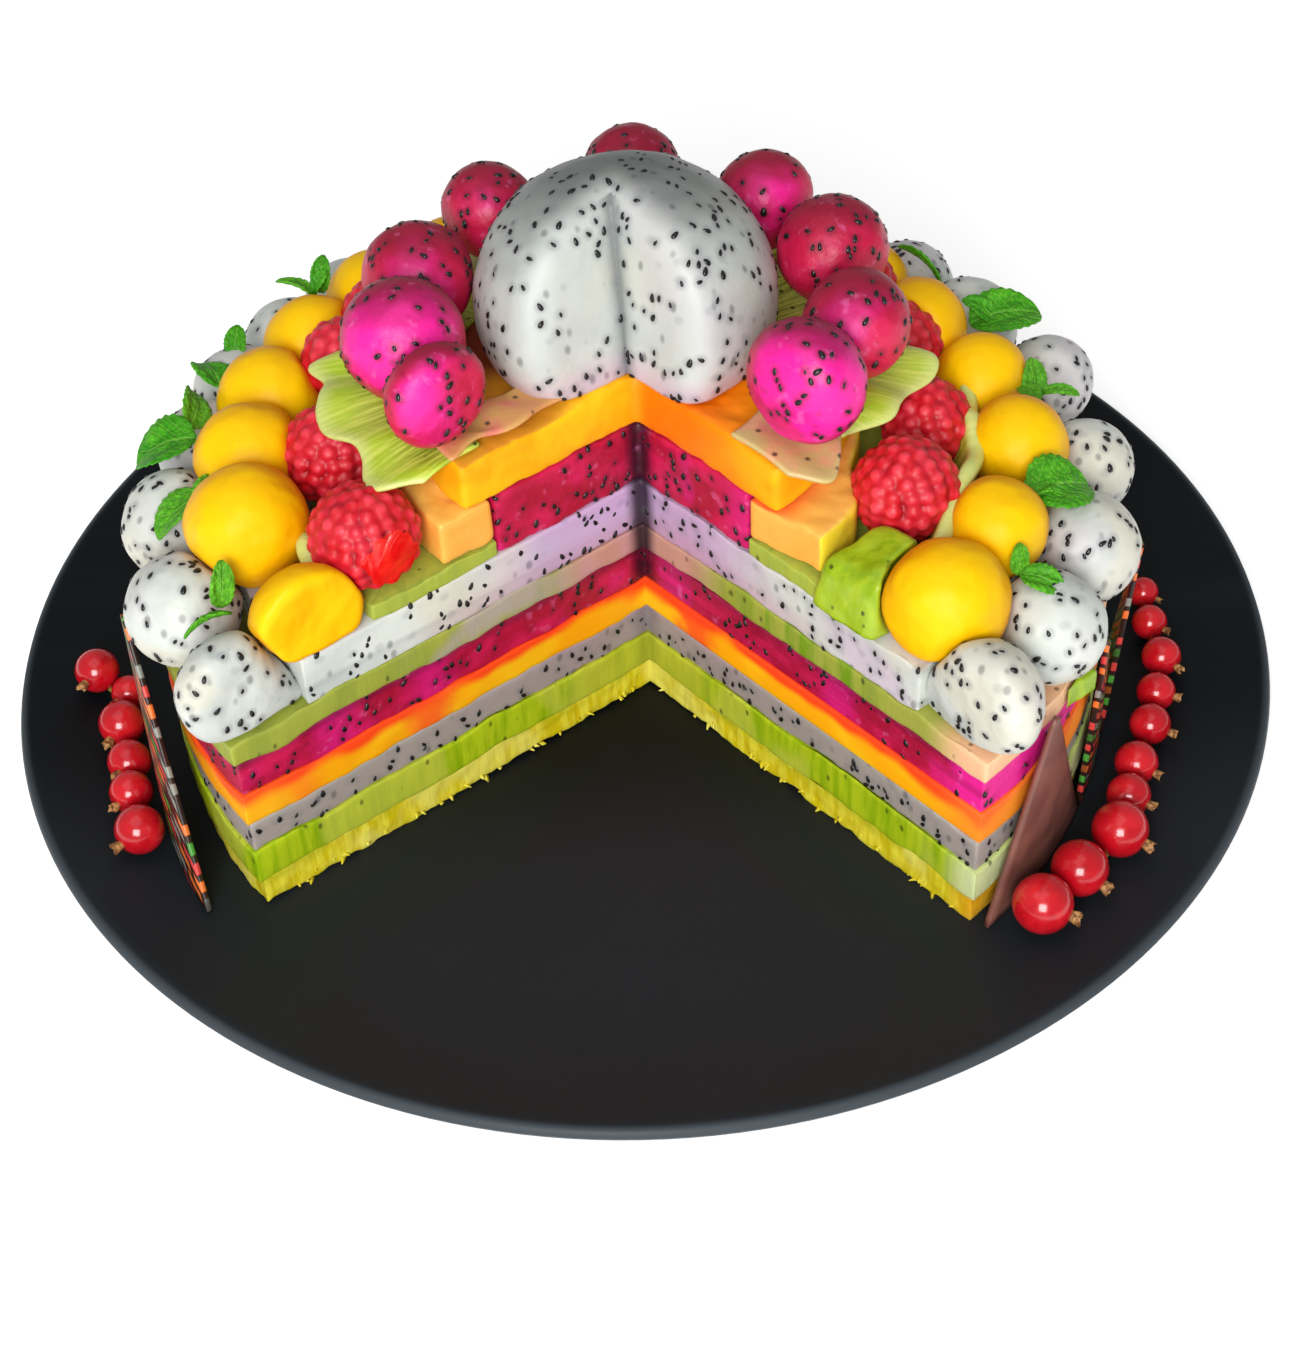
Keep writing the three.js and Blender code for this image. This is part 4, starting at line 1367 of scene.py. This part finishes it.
def sheet(across, along, surface, thickness, smooth=1):
    """A thin piece: a grid laid on surface(u, v), thickened downwards and softened."""
    deselect_all()
    bpy.ops.mesh.primitive_grid_add(x_subdivisions=across, y_subdivisions=along, size=1)
    piece = bpy.context.object
    for vertex in piece.data.vertices:
        vertex.co = surface(vertex.co.x + 0.5, vertex.co.y + 0.5)
    apply_modifier(piece, "SOLIDIFY", thickness=thickness, offset=-1, material_offset=1,
                   material_offset_rim=1)
    if smooth:
        apply_modifier(piece, "SUBSURF", levels=smooth, render_levels=smooth)
    return shade(piece)


def spline(values, share):
    """A smooth value through evenly spaced ones."""
    reach = share * (len(values) - 1)
    first = min(int(reach), len(values) - 2)
    part = reach - first
    a, b, c, d = (values[min(max(first + step, 0), len(values) - 1)] for step in (-1, 0, 1, 2))
    return 0.5 * (
        2 * b + (c - a) * part + (2 * a - 5 * b + 4 * c - d) * part**2 + (3 * b - a - 3 * c + d) * part**3
    )


def kiwi_sheet(start, end, edge, inner, droop, height=0.0):
    """A lobed slice round the cake's axis, from inner out to the edge's distances."""

    def surface(u, v):
        azimuth = mix(start, end, v)
        reach = mix(inner, spline(edge, v), u)
        ruffle = math.sin(v * len(edge) * 1.7 + u * 2.4) * 0.9 * u
        down = droop * max(0.0, u - 0.3) ** 1.5
        return polar(CAKE, azimuth, reach * MM, CROWN_SEAT + (1.1 + height + ruffle - down) * MM)

    return sheet(12, max(16, round(len(edge) * 5)), surface, 1.2 * MM)


def upright_slice(start, end, distance, heights, lean):
    """A thin slice that stands between two rings, with a waving upper edge."""

    def surface(u, v):
        top = spline(heights, v)
        reach = distance + lean * u + 0.6 * math.sin(v * 17)
        return polar(CAKE, mix(start, end, v), reach * MM, mix(MANGO_SEAT / MM + 0.4, top, u) * MM)

    return sheet(8, max(16, round(abs(end - start) * 0.9)), surface, 3.4 * MM)


def softened_copy(node, grain, rounds):
    """A plain solid's own form with rounded edges and a natural surface."""
    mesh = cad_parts[node].data.copy()
    piece = bpy.data.objects.new(node, mesh)
    bpy.context.scene.collection.objects.link(piece)
    start_edit(piece)
    bpy.ops.mesh.remove_doubles(threshold=1e-6)
    end_edit()
    remeshed(piece, grain, rounds)
    uneven(piece, 7, 1.4)
    return shade(piece)


class FRUITCAKE_OT_kiwi(bpy.types.Operator):
    """Lay the thin kiwi slices and the loose pieces of kiwi"""

    bl_idname = "fruitcake.kiwi"
    bl_label = "Kiwi slices"

    # Azimuths from and to, the edge's distances, the inner distance, droop and lift.
    LOBED = {
        "kiwi_slice_left": (
            164, 217.5, [57, 63.5, 59, 59.4, 60, 58.4, 54.4, 53.8, 55.6, 55.2, 47.5], 34, 6,
        ),
        "kiwi_slice_right": (333, 367, [46.5, 48, 53.5, 54.6, 56, 60.8, 61.8, 58], 34, 5),
    }
    BACK = [
        (10, 52, [56, 60, 57, 59.5, 56.5, 58], 34, 6, -0.2),
        (50, 104, [56, 58.5, 55.5, 58, 59, 55.5, 57], 34, 6, 0.5),
        (100, 136, [55, 58, 56, 59, 56.5], 34, 6, -0.2),
        (134, 161, [57, 60.5, 58, 61.5, 57], 34, 6, 0.4),
    ]
    JUICED = (311, 340, [45.5, 51.5, 50, 47.6, 46, 45], 30, 3.0, 1.0)
    # Azimuths from and to, the foot's distance, the upper edge's heights and how far it leans out.
    UPRIGHT = [
        (322, 376, 62.4, [74, 78, 80, 81, 79, 81, 78, 80, 78], 5.0),
        (190, 213, 63.4, [76, 79, 77, 78, 75], 4),
    ]

    def execute(self, context):
        slices = [material(kiwi_slice)] * 2
        for node, facts in self.LOBED.items():
            name = node.replace("slice", "slice_lobed")
            finished(kiwi_sheet(*facts), name, "kiwi", slices, node)
        back = join([kiwi_sheet(*facts) for facts in self.BACK])
        finished(back, "kiwi_slices_back", "kiwi", slices)
        upright = join([upright_slice(*facts) for facts in self.UPRIGHT])
        finished(upright, "kiwi_slices_upright", "kiwi", slices)
        juiced = join([kiwi_sheet(*self.JUICED), self.crown_slice("left", 14, 43, 11)])
        finished(juiced, "kiwi_slices_juiced", "kiwi", [material(kiwi_peach)] * 2)
        corner = softened_copy("kiwi_corner", 0.6, 26)
        for node, chunk in (("kiwi_corner", corner), ("kiwi_on_ledge", self.ledge_chunk())):
            finished(chunk, f"{node}_chunk", "kiwi", [material(kiwi_chunk)], node)
        return {"FINISHED"}

    @staticmethod
    def ledge_chunk():
        """The irregular chunk on the ledge: it reaches forward to the cut beside the melon."""
        along, outward = along_face("right"), into_wedge("right")

        def spot(distance, inset, height):
            return behind_face("right", distance, inset, BERRY_SEAT / MM + height)

        planes = [
            (spot(58, 0.1, 2), outward + Vector((0, 0, 0.3)), 2.4),
            (spot(65.5, 4, 2), along + outward * 0.25 + Vector((0, 0, 0.2)), 2.2),
            (spot(50.4, 4, 2), -along - outward * 0.2, 1.8),
            (spot(56, 15, 3), -outward, 2.5),
            (spot(56, 8, 8.4), UP - along * 0.1 + outward * 0.25, 2.6),
            (spot(56, 6, (MANGO_SEAT - BERRY_SEAT) / MM), -UP, 1.0),
        ]
        neighbours = front_balls("mango_ball", 8) + front_balls("raspberry", 5)

        def outside(points):
            distance = np.full(len(points), -100 * MM)
            for point, normal, softness in planes:
                unit = np.array(normal.normalized())
                distance = soft_most(distance, (points - np.array(point)) @ unit, softness * MM)
            for centre, radius in neighbours:
                from_ball = radius + GAP - np.linalg.norm(points - np.array(centre), axis=1)
                distance = soft_most(distance, from_ball, 1 * MM)
            return distance

        piece = shaped(spot(57.5, 6, 3), 24 * MM, outside, 5)
        uneven(piece, 6, 1.2)
        return shade(piece)

    @staticmethod
    def crown_slice(side, start, end, depth):
        """A thin slice that lies along the top of the cut."""

        def surface(u, v):
            inset = mix(depth, 1.8 + 0.9 * math.sin(v * 11), u)
            height = CROWN_SEAT / MM + 1.0 + 0.5 * math.sin(v * 14 + u * 3)
            return behind_face(side, mix(start, end, v), inset, height)

        return sheet(8, 18, surface, 1.2 * MM)


def leaf(middle, heading, tilt, length, width, tone, roll=0.0, curl=0.12):
    """One mint leaf with a toothed rim, a folded rib and puckers between its veins."""
    turn = (
        Matrix.Translation(Vector(middle) * MM)
        @ Matrix.Rotation(math.radians(heading), 4, "Z")
        @ Matrix.Rotation(math.radians(tilt), 4, "Y")
        @ Matrix.Rotation(math.radians(roll), 4, "X")
    )

    def surface(u, v):
        side = 2 * u - 1
        belly = math.sin(math.pi * min(v, 1) ** 0.8) ** 0.55
        tooth = 1 + 0.07 * math.sin(v * 50) * abs(side) ** 6
        half = width / 2 * (0.05 + 0.95 * belly) * tooth
        pucker = 0.5 * math.sin((v - abs(side) * 0.4) * 34) * abs(side) * (1 - abs(side) ** 4)
        pucker += 0.3 * math.sin(side * 9 + v * 4) * math.sin(math.pi * v)
        lift = abs(side) * half * 0.25 - curl * length * (2 * v - 1) ** 2 + pucker
        return turn @ (Vector(((v - 0.5) * length, -side * half, lift)) * MM)

    piece = sheet(14, 26, surface, 0.45 * MM)
    store(piece, "tone", [tone] * len(piece.data.vertices))
    return piece


class FRUITCAKE_OT_mint(bpy.types.Operator):
    """Tuck the mint leaves between the rings of balls"""

    bl_idname = "fruitcake.mint"
    bl_label = "Mint"

    LEAVES = {
        # middle, heading, tilt, length, width, tone, roll
        "mint_left": [((-93.4, -10.4, 76.2), 182, 24, 14, 15, 0.05, 0)],
        "mint_right_back": [
            ((79, 21.6, 75.6), 14, 4, 16, 12.5, 0.15, 10), ((73.4, 22, 77), 150, -24, 8, 6.5, 0.05, 0),
        ],
        "mint_right_front": [
            ((81.4, -36.8, 77.2), 24, 12, 14, 14, 0.2, 12), ((76.4, -38, 78), 205, 6, 7, 6, 0.35, 0),
        ],
    }
    EXTRA = [
        ((-87.6, 2.6, 76.4), 95, 8, 15, 7.5, 0.75, 50),
        ((-86.2, 16.2, 74.6), 120, 4, 11, 9, 0.1, 20),
        ((-81.8, 24.5, 75.5), 80, -50, 7, 5, 0.1, 0),
        ((-88, -30.8, 76), 215, 22, 13, 12.6, 0.5, 18),
        ((-82.4, -25.8, 77.5), 60, -10, 7, 5.5, 0.6, 30),
        ((-77.2, -54.5, 77.5), 80, -55, 9, 5, 0.7, 30),
        ((-80.5, -60, 74), 205, 12, 10, 6, 0.4, 40),
        ((-63.6, 35, 84), 75, -60, 8, 4.6, 0.15, 0),
        ((-68.4, 33.4, 83), 165, -18, 9, 5.4, 0.5, 20),
        ((-64.2, 33, 83.5), 30, -50, 6, 4, 0.1, 0),
        ((81, -2.2, 76.2), 80, -40, 9, 6.2, 0.6, 30),
        ((86.4, -4, 74.6), 0, 8, 8, 3.4, 0.6, 0),
        ((79.6, -6.6, 76.4), 300, 4, 6, 4.6, 0.6, 0),
        ((70.4, -57, 76.4), 85, -60, 6, 3.8, 0.5, 0),
        ((74.4, -61.4, 75.2), 338, 14, 8.4, 6.6, 0.3, 10),
        ((63.6, 36.4, 79), 318, 26, 13, 6.4, 0.2, -50),
    ]

    def execute(self, context):
        look = [material(mint_leaf)] * 2
        for node, leaves in self.LEAVES.items():
            piece = join([leaf(*facts) for facts in leaves])
            finished(piece, f"{node}_leaves", "mint_leaf", look, node)
        piece = join([leaf(*facts) for facts in self.EXTRA])
        finished(piece, "mint_small_leaves", "mint_leaf", look)
        return {"FINISHED"}


def plate_top(distance):
    """Height of the plate's upper face at a distance from its centre."""
    if distance <= 107 * MM:
        return PLATE_FLOOR
    if distance <= 121 * MM:
        return mix(PLATE_FLOOR, 9 * MM, (distance - 107 * MM) / (14 * MM))
    return mix(9 * MM, 12 * MM, (distance - 121 * MM) / (12 * MM))


def standing(point):
    """A point moved up to just above the plate."""
    return Vector((point.x, point.y, plate_top(math.hypot(point.x, point.y)) + GAP))


class FRUITCAKE_OT_chocolate(bpy.types.Operator):
    """Stand the curved chocolate sails on the plate"""

    bl_idname = "fruitcake.chocolate"
    bl_label = "Chocolate"

    # Azimuth and distance of the foot's two ends and of the tip, and its height in millimetres.
    SAILS = {
        "chocolate_left": ((196, 104), (215.4, 107), (196.8, 103.5), 60),
        "chocolate_right_front": ((311.6, 99.6), (333.6, 98.9), (321.6, 100), 52),
        "chocolate_right_middle": ((334.4, 98.9), (345.5, 99.2), (336, 100.4), 51),
        "chocolate_right_back": ((347, 99.6), (356, 99.6), (350.4, 103.4), 55),
    }

    def execute(self, context):
        plain_side, dashes = material(chocolate_plain), material(chocolate_dashes)
        for node, (first, last, tip, height) in self.SAILS.items():
            outer = plain_side if node == "chocolate_right_front" else dashes
            top = polar(CAKE, tip[0], tip[1] * MM, height * MM)
            start = polar(CAKE, first[0], first[1] * MM)
            end = polar(CAKE, last[0], last[1] * MM)
            tip_half = (end - start).normalized() * 0.6 * MM

            def surface(u, v):
                foot = polar(CAKE, mix(first[0], last[0], u), mix(first[1], last[1], u) * MM)
                narrow = top + tip_half * (2 * u - 1)
                return standing(foot).lerp(narrow, v)

            piece = sheet(14, 24, surface, 1.1 * MM, 0)
            finished(piece, f"{node}_sail", "chocolate", [outer, dashes], node)
        return {"FINISHED"}


class FRUITCAKE_OT_redcurrants(bpy.types.Operator):
    """Lay the two sprigs of redcurrants on the plate"""

    bl_idname = "fruitcake.redcurrants"
    bl_label = "Redcurrants"

    def execute(self, context):
        draw = random.Random(21)
        for node, berries in SPRIGS.items():
            pieces = []
            for x, y, radius in berries:
                seat = standing(Vector((x, y, 0)) * MM).z + GAP
                centre = Vector((x * MM, y * MM, seat + radius * MM))
                pieces.append(self.berry(centre, radius * MM, x > 0, draw))
            pieces.append(self.stem(berries))
            finished(join(pieces), f"{node}_sprig", "redcurrant", None, node)
        return {"FINISHED"}

    @staticmethod
    def berry(centre, radius, right, draw):
        """A berry with the dried tuft of its calyx pointing outwards."""
        deselect_all()
        bpy.ops.mesh.primitive_uv_sphere_add(segments=32, ring_count=20, radius=radius)
        ball = rest_place(bpy.context.object)
        start_edit(ball)
        select(ball, "FACE", lambda face: face.calc_center_median().z > radius * 0.97)
        bpy.ops.transform.translate(value=(0, 0, -radius * 0.06))
        end_edit()
        deselect_all()
        bpy.ops.mesh.primitive_cylinder_add(vertices=10, radius=radius * 0.17, depth=radius * 0.42,
                                            location=(0, 0, radius * 1.06))
        tuft = rest_place(bpy.context.object)
        start_edit(tuft)
        select(tuft, "FACE", lambda face: face.normal.z > 0.9)
        bpy.ops.mesh.inset(thickness=radius * 0.05)
        bpy.ops.transform.translate(value=(0, 0, -radius * 0.2))
        end_edit()
        for vertex in tuft.data.vertices:
            if vertex.co.z > radius * 1.1:
                spread = 1.25 + draw.uniform(-0.25, 0.45)
                vertex.co.x *= spread
                vertex.co.y *= spread
                vertex.co.z += draw.uniform(-0.08, 0.14) * radius
        piece = join([coat(ball, material(currant_skin)), coat(tuft, material(calyx_skin))])
        outward = Vector((0.75 if right else -0.5, -0.6, draw.uniform(-0.35, 0.1)))
        outward += Vector((draw.uniform(-0.3, 0.3), draw.uniform(-0.3, 0.3), 0))
        piece.matrix_world = aimed(centre, outward, UP)
        rest_place(piece)
        return shade(piece, 60)

    @staticmethod
    def stem(berries):
        """The thin stem under the berries, as a swept tube."""
        points = [Vector((x, y, 0)) * MM for x, y, _ in berries]
        curve = bpy.data.curves.new("stem", "CURVE")
        curve.dimensions = "3D"
        curve.bevel_depth = 0.6 * MM
        curve.bevel_resolution = 2
        curve.use_fill_caps = True
        line = curve.splines.new("NURBS")
        line.points.add(len(points) - 1)
        line.use_endpoint_u = True
        line.order_u = 3
        for spot, point in zip(line.points, points):
            spot.co = (point.x, point.y, standing(point).z + 1.7 * MM, 1)
        piece = bpy.data.objects.new("stem", curve)
        bpy.context.scene.collection.objects.link(piece)
        make_active(piece)
        bpy.ops.object.convert(target="MESH")
        piece = bpy.context.object
        return shade(coat(piece, material(stem_skin)))


def surface_samples(piece, count, draw, wanted, apart):
    """Random points of a mesh with their normals, kept apart from each other."""
    mesh = piece.data
    mesh.calc_loop_triangles()
    triangles = np.empty(len(mesh.loop_triangles) * 3, int)
    mesh.loop_triangles.foreach_get("vertices", triangles)
    corners = points_of(piece)[triangles.reshape(-1, 3)]
    cross = np.cross(corners[:, 1] - corners[:, 0], corners[:, 2] - corners[:, 0])
    area = np.linalg.norm(cross, axis=1) / 2
    normals = cross / np.maximum(area[:, None] * 2, 1e-15)
    middles = corners.mean(axis=1)
    allowed = np.array([wanted(Vector(m), Vector(n)) for m, n in zip(middles, normals)])
    area = area * allowed
    if area.sum() <= 0:
        return []
    chosen = draw.choice(len(area), size=count * 3, p=area / area.sum())
    kept = []
    spots = np.empty((0, 3))
    for triangle in chosen:
        a, b = draw.random(2)
        if a + b > 1:
            a, b = 1 - a, 1 - b
        first, second, third = corners[triangle]
        point = first + a * (second - first) + b * (third - first)
        if len(spots) and np.min(np.sum((spots - point) ** 2, axis=1)) < apart**2:
            continue
        spots = np.vstack([spots, point])
        kept.append((Vector(point), Vector(normals[triangle])))
        if len(kept) == count:
            break
    return kept


def mark_seeds(piece, samples):
    """Stores how near each point of a piece is to a seed, from 0 to 1."""
    tree = kdtree.KDTree(len(samples))
    for index, (point, _) in enumerate(samples):
        tree.insert(point, index)
    tree.balance()
    near = []
    for vertex in piece.data.vertices:
        distance = tree.find(vertex.co)[2]
        near.append(1 - smooth_step(0.6 * MM, 1.7 * MM, distance))
    store(piece, "near_seed", near)


class FRUITCAKE_OT_seeds(bpy.types.Operator):
    """Press the black seeds into the dragon fruit"""

    bl_idname = "fruitcake.seeds"
    bl_label = "Seeds"

    def execute(self, context):
        draw = np.random.default_rng(5)
        length = context.scene.fruit_cake_sizes.seed_length

        def showing(point, normal):
            return normal.z > -0.55

        def on_side(point, normal):
            return abs(normal.z) < 0.6

        def lower_side(point, normal):
            return on_side(point, normal) and point.z < 28.5 * MM

        kinds = {"white": [], "red": []}
        # Each piece, its seeds for each square millimetre, their kind and where they show.
        for name, share, kind, wanted in (
            ("dragon_fruit_dome", 0.043, "white", showing),
            ("white_balls_run", 0.05, "white", showing),
            ("slices_white_dragon_mid", 0.06, "white", on_side),
            ("slices_white_dragon_low", 0.075, "white", lower_side),
            ("slices_red_dragon_low", 0.05, "red", on_side),
            ("slices_red_dragon_upper", 0.055, "red", on_side),
            *((f"white_ball_whole_{index + 1}", 0.058, "white", showing) for index in range(8)),
            *((f"pink_ball_whole_{index + 1}", 0.05, "red", showing) for index in range(9)),
        ):
            piece = bpy.data.objects[name]
            area = sum(face.area for face in piece.data.polygons if wanted(face.center, face.normal))
            samples = surface_samples(piece, round(area * share * 1e6), draw, wanted, 1.1 * MM)
            mark_seeds(piece, samples)
            kinds[kind] += self.places(samples, draw)
        for kind, places in kinds.items():
            seeds = copies(self.model(length), places)
            finished(seeds, f"seeds_{kind}", f"{kind}_dragon_fruit", [material(seed_coat)])
        return {"FINISHED"}

    @staticmethod
    def places(samples, draw):
        places = []
        for point, normal in samples:
            along = UP + Vector(draw.uniform(-0.8, 0.8, 3))
            size = draw.uniform(0.72, 1.2)
            sink = draw.uniform(0.0, 0.2) * MM
            places.append(
                aimed(point - normal * sink, normal, along, (size, size * draw.uniform(0.85, 1.15), size))
            )
        return places

    @staticmethod
    def model(length):
        """A flat drop with its point along X."""
        deselect_all()
        bpy.ops.mesh.primitive_uv_sphere_add(segments=7, ring_count=5, radius=0.5)
        seed = bpy.context.object
        for vertex in seed.data.vertices:
            along = vertex.co.z * 2
            taper = 1 - 0.28 * along
            vertex.co = Vector((along * length / 2, vertex.co.x * taper * length * 0.6,
                                vertex.co.y * taper * length * 0.42))
        start_edit(seed)
        bpy.ops.mesh.normals_make_consistent(inside=False)
        end_edit()
        return seed


class FRUITCAKE_OT_stage(bpy.types.Operator):
    """Set the pale floor, the soft lights and the camera"""

    bl_idname = "fruitcake.stage"
    bl_label = "Stage"

    SKY = 0.29
    FLOOR_GLOW = 0.45
    # Place and size in metres, and power in watts.
    LIGHTS = {"overhead": ((-0.2, -0.2, 1.4), 1.2, 3), "front": ((-0.18, -1.32, 0.8), 0.7, 21)}
    # The point that the camera looks at, its distance from there, its elevation and its roll.
    AIM = Vector((0.218, -3.103, 0)) * MM
    DISTANCE = 553.65 * MM
    ELEVATION = math.radians(43.74)
    ROLL = math.radians(-2.75)

    def execute(self, context):
        deselect_all()
        bpy.ops.mesh.primitive_plane_add(size=6, location=(0, 0, 0))
        floor = bpy.context.object
        floor.name = "floor"
        f = Finish("pale floor")
        f.start(f.noise(300, 1), "fcfcfc", "ffffff")
        floor.data.materials.append(f.done(0.9, Emission_Color="ffffff", Emission_Strength=self.FLOOR_GLOW))
        world = bpy.data.worlds.new("studio")
        world.use_nodes = True
        background = world.node_tree.nodes["Background"]
        background.inputs["Color"].default_value = (1, 1, 1, 1)
        background.inputs["Strength"].default_value = self.SKY
        context.scene.world = world
        for name, facts in self.LIGHTS.items():
            self.light(name, *facts)
        self.camera(context.scene)
        context.scene.view_settings.view_transform = "Standard"
        return {"FINISHED"}

    @staticmethod
    def light(name, place, size, power):
        deselect_all()
        bpy.ops.object.light_add(type="AREA", location=place)
        light = bpy.context.object
        light.name = name
        light.data.size = size
        light.data.energy = power
        light.rotation_euler = (-Vector(place)).to_track_quat("-Z", "Y").to_euler()

    def camera(self, scene):
        """Looks along +Y and down, with the photograph's slight roll."""
        back = Vector((0, -math.cos(self.ELEVATION), math.sin(self.ELEVATION)))
        up = Vector((0, math.sin(self.ELEVATION), math.cos(self.ELEVATION)))
        right = Vector((1, 0, 0))
        rolled_right = right * math.cos(self.ROLL) + up * math.sin(self.ROLL)
        rolled_up = up * math.cos(self.ROLL) - right * math.sin(self.ROLL)
        bpy.ops.object.camera_add()
        camera = bpy.context.object
        camera.name = "camera"
        turn = Matrix((rolled_right, rolled_up, back)).transposed().to_4x4()
        camera.matrix_world = Matrix.Translation(self.AIM + back * self.DISTANCE) @ turn
        camera.data.lens = 66.67
        camera.data.sensor_fit = "VERTICAL"
        camera.data.sensor_height = 36
        camera.data.dof.use_dof = False
        scene.camera = camera


class FRUITCAKE_PT_panel(bpy.types.Panel):
    """Lists the steps that build the cake"""

    bl_idname = "FRUITCAKE_PT_panel"
    bl_label = "Fruit Cake"
    bl_space_type = "VIEW_3D"
    bl_region_type = "UI"
    bl_category = "Fruit Cake"

    def draw(self, context):
        for operator in OPERATORS:
            self.layout.operator(operator.bl_idname)


OPERATORS = (
    FRUITCAKE_OT_plate,
    FRUITCAKE_OT_layers,
    FRUITCAKE_OT_balls,
    FRUITCAKE_OT_dome,
    FRUITCAKE_OT_raspberries,
    FRUITCAKE_OT_kiwi,
    FRUITCAKE_OT_mint,
    FRUITCAKE_OT_chocolate,
    FRUITCAKE_OT_redcurrants,
    FRUITCAKE_OT_seeds,
    FRUITCAKE_OT_stage,
)
CLASSES = (FruitCakeSizes, FruitCakeColours, *OPERATORS, FRUITCAKE_PT_panel)


def register():
    for item in CLASSES:
        bpy.utils.register_class(item)
    bpy.types.Scene.fruit_cake_sizes = bpy.props.PointerProperty(type=FruitCakeSizes)
    bpy.types.Scene.fruit_cake_colours = bpy.props.PointerProperty(type=FruitCakeColours)


def unregister():
    del bpy.types.Scene.fruit_cake_sizes
    del bpy.types.Scene.fruit_cake_colours
    for item in reversed(CLASSES):
        bpy.utils.unregister_class(item)


def main():
    register()
    for operator in OPERATORS:
        group, name = operator.bl_idname.split(".")
        getattr(getattr(bpy.ops, group), name)()


if __name__ == "__main__":
    main()
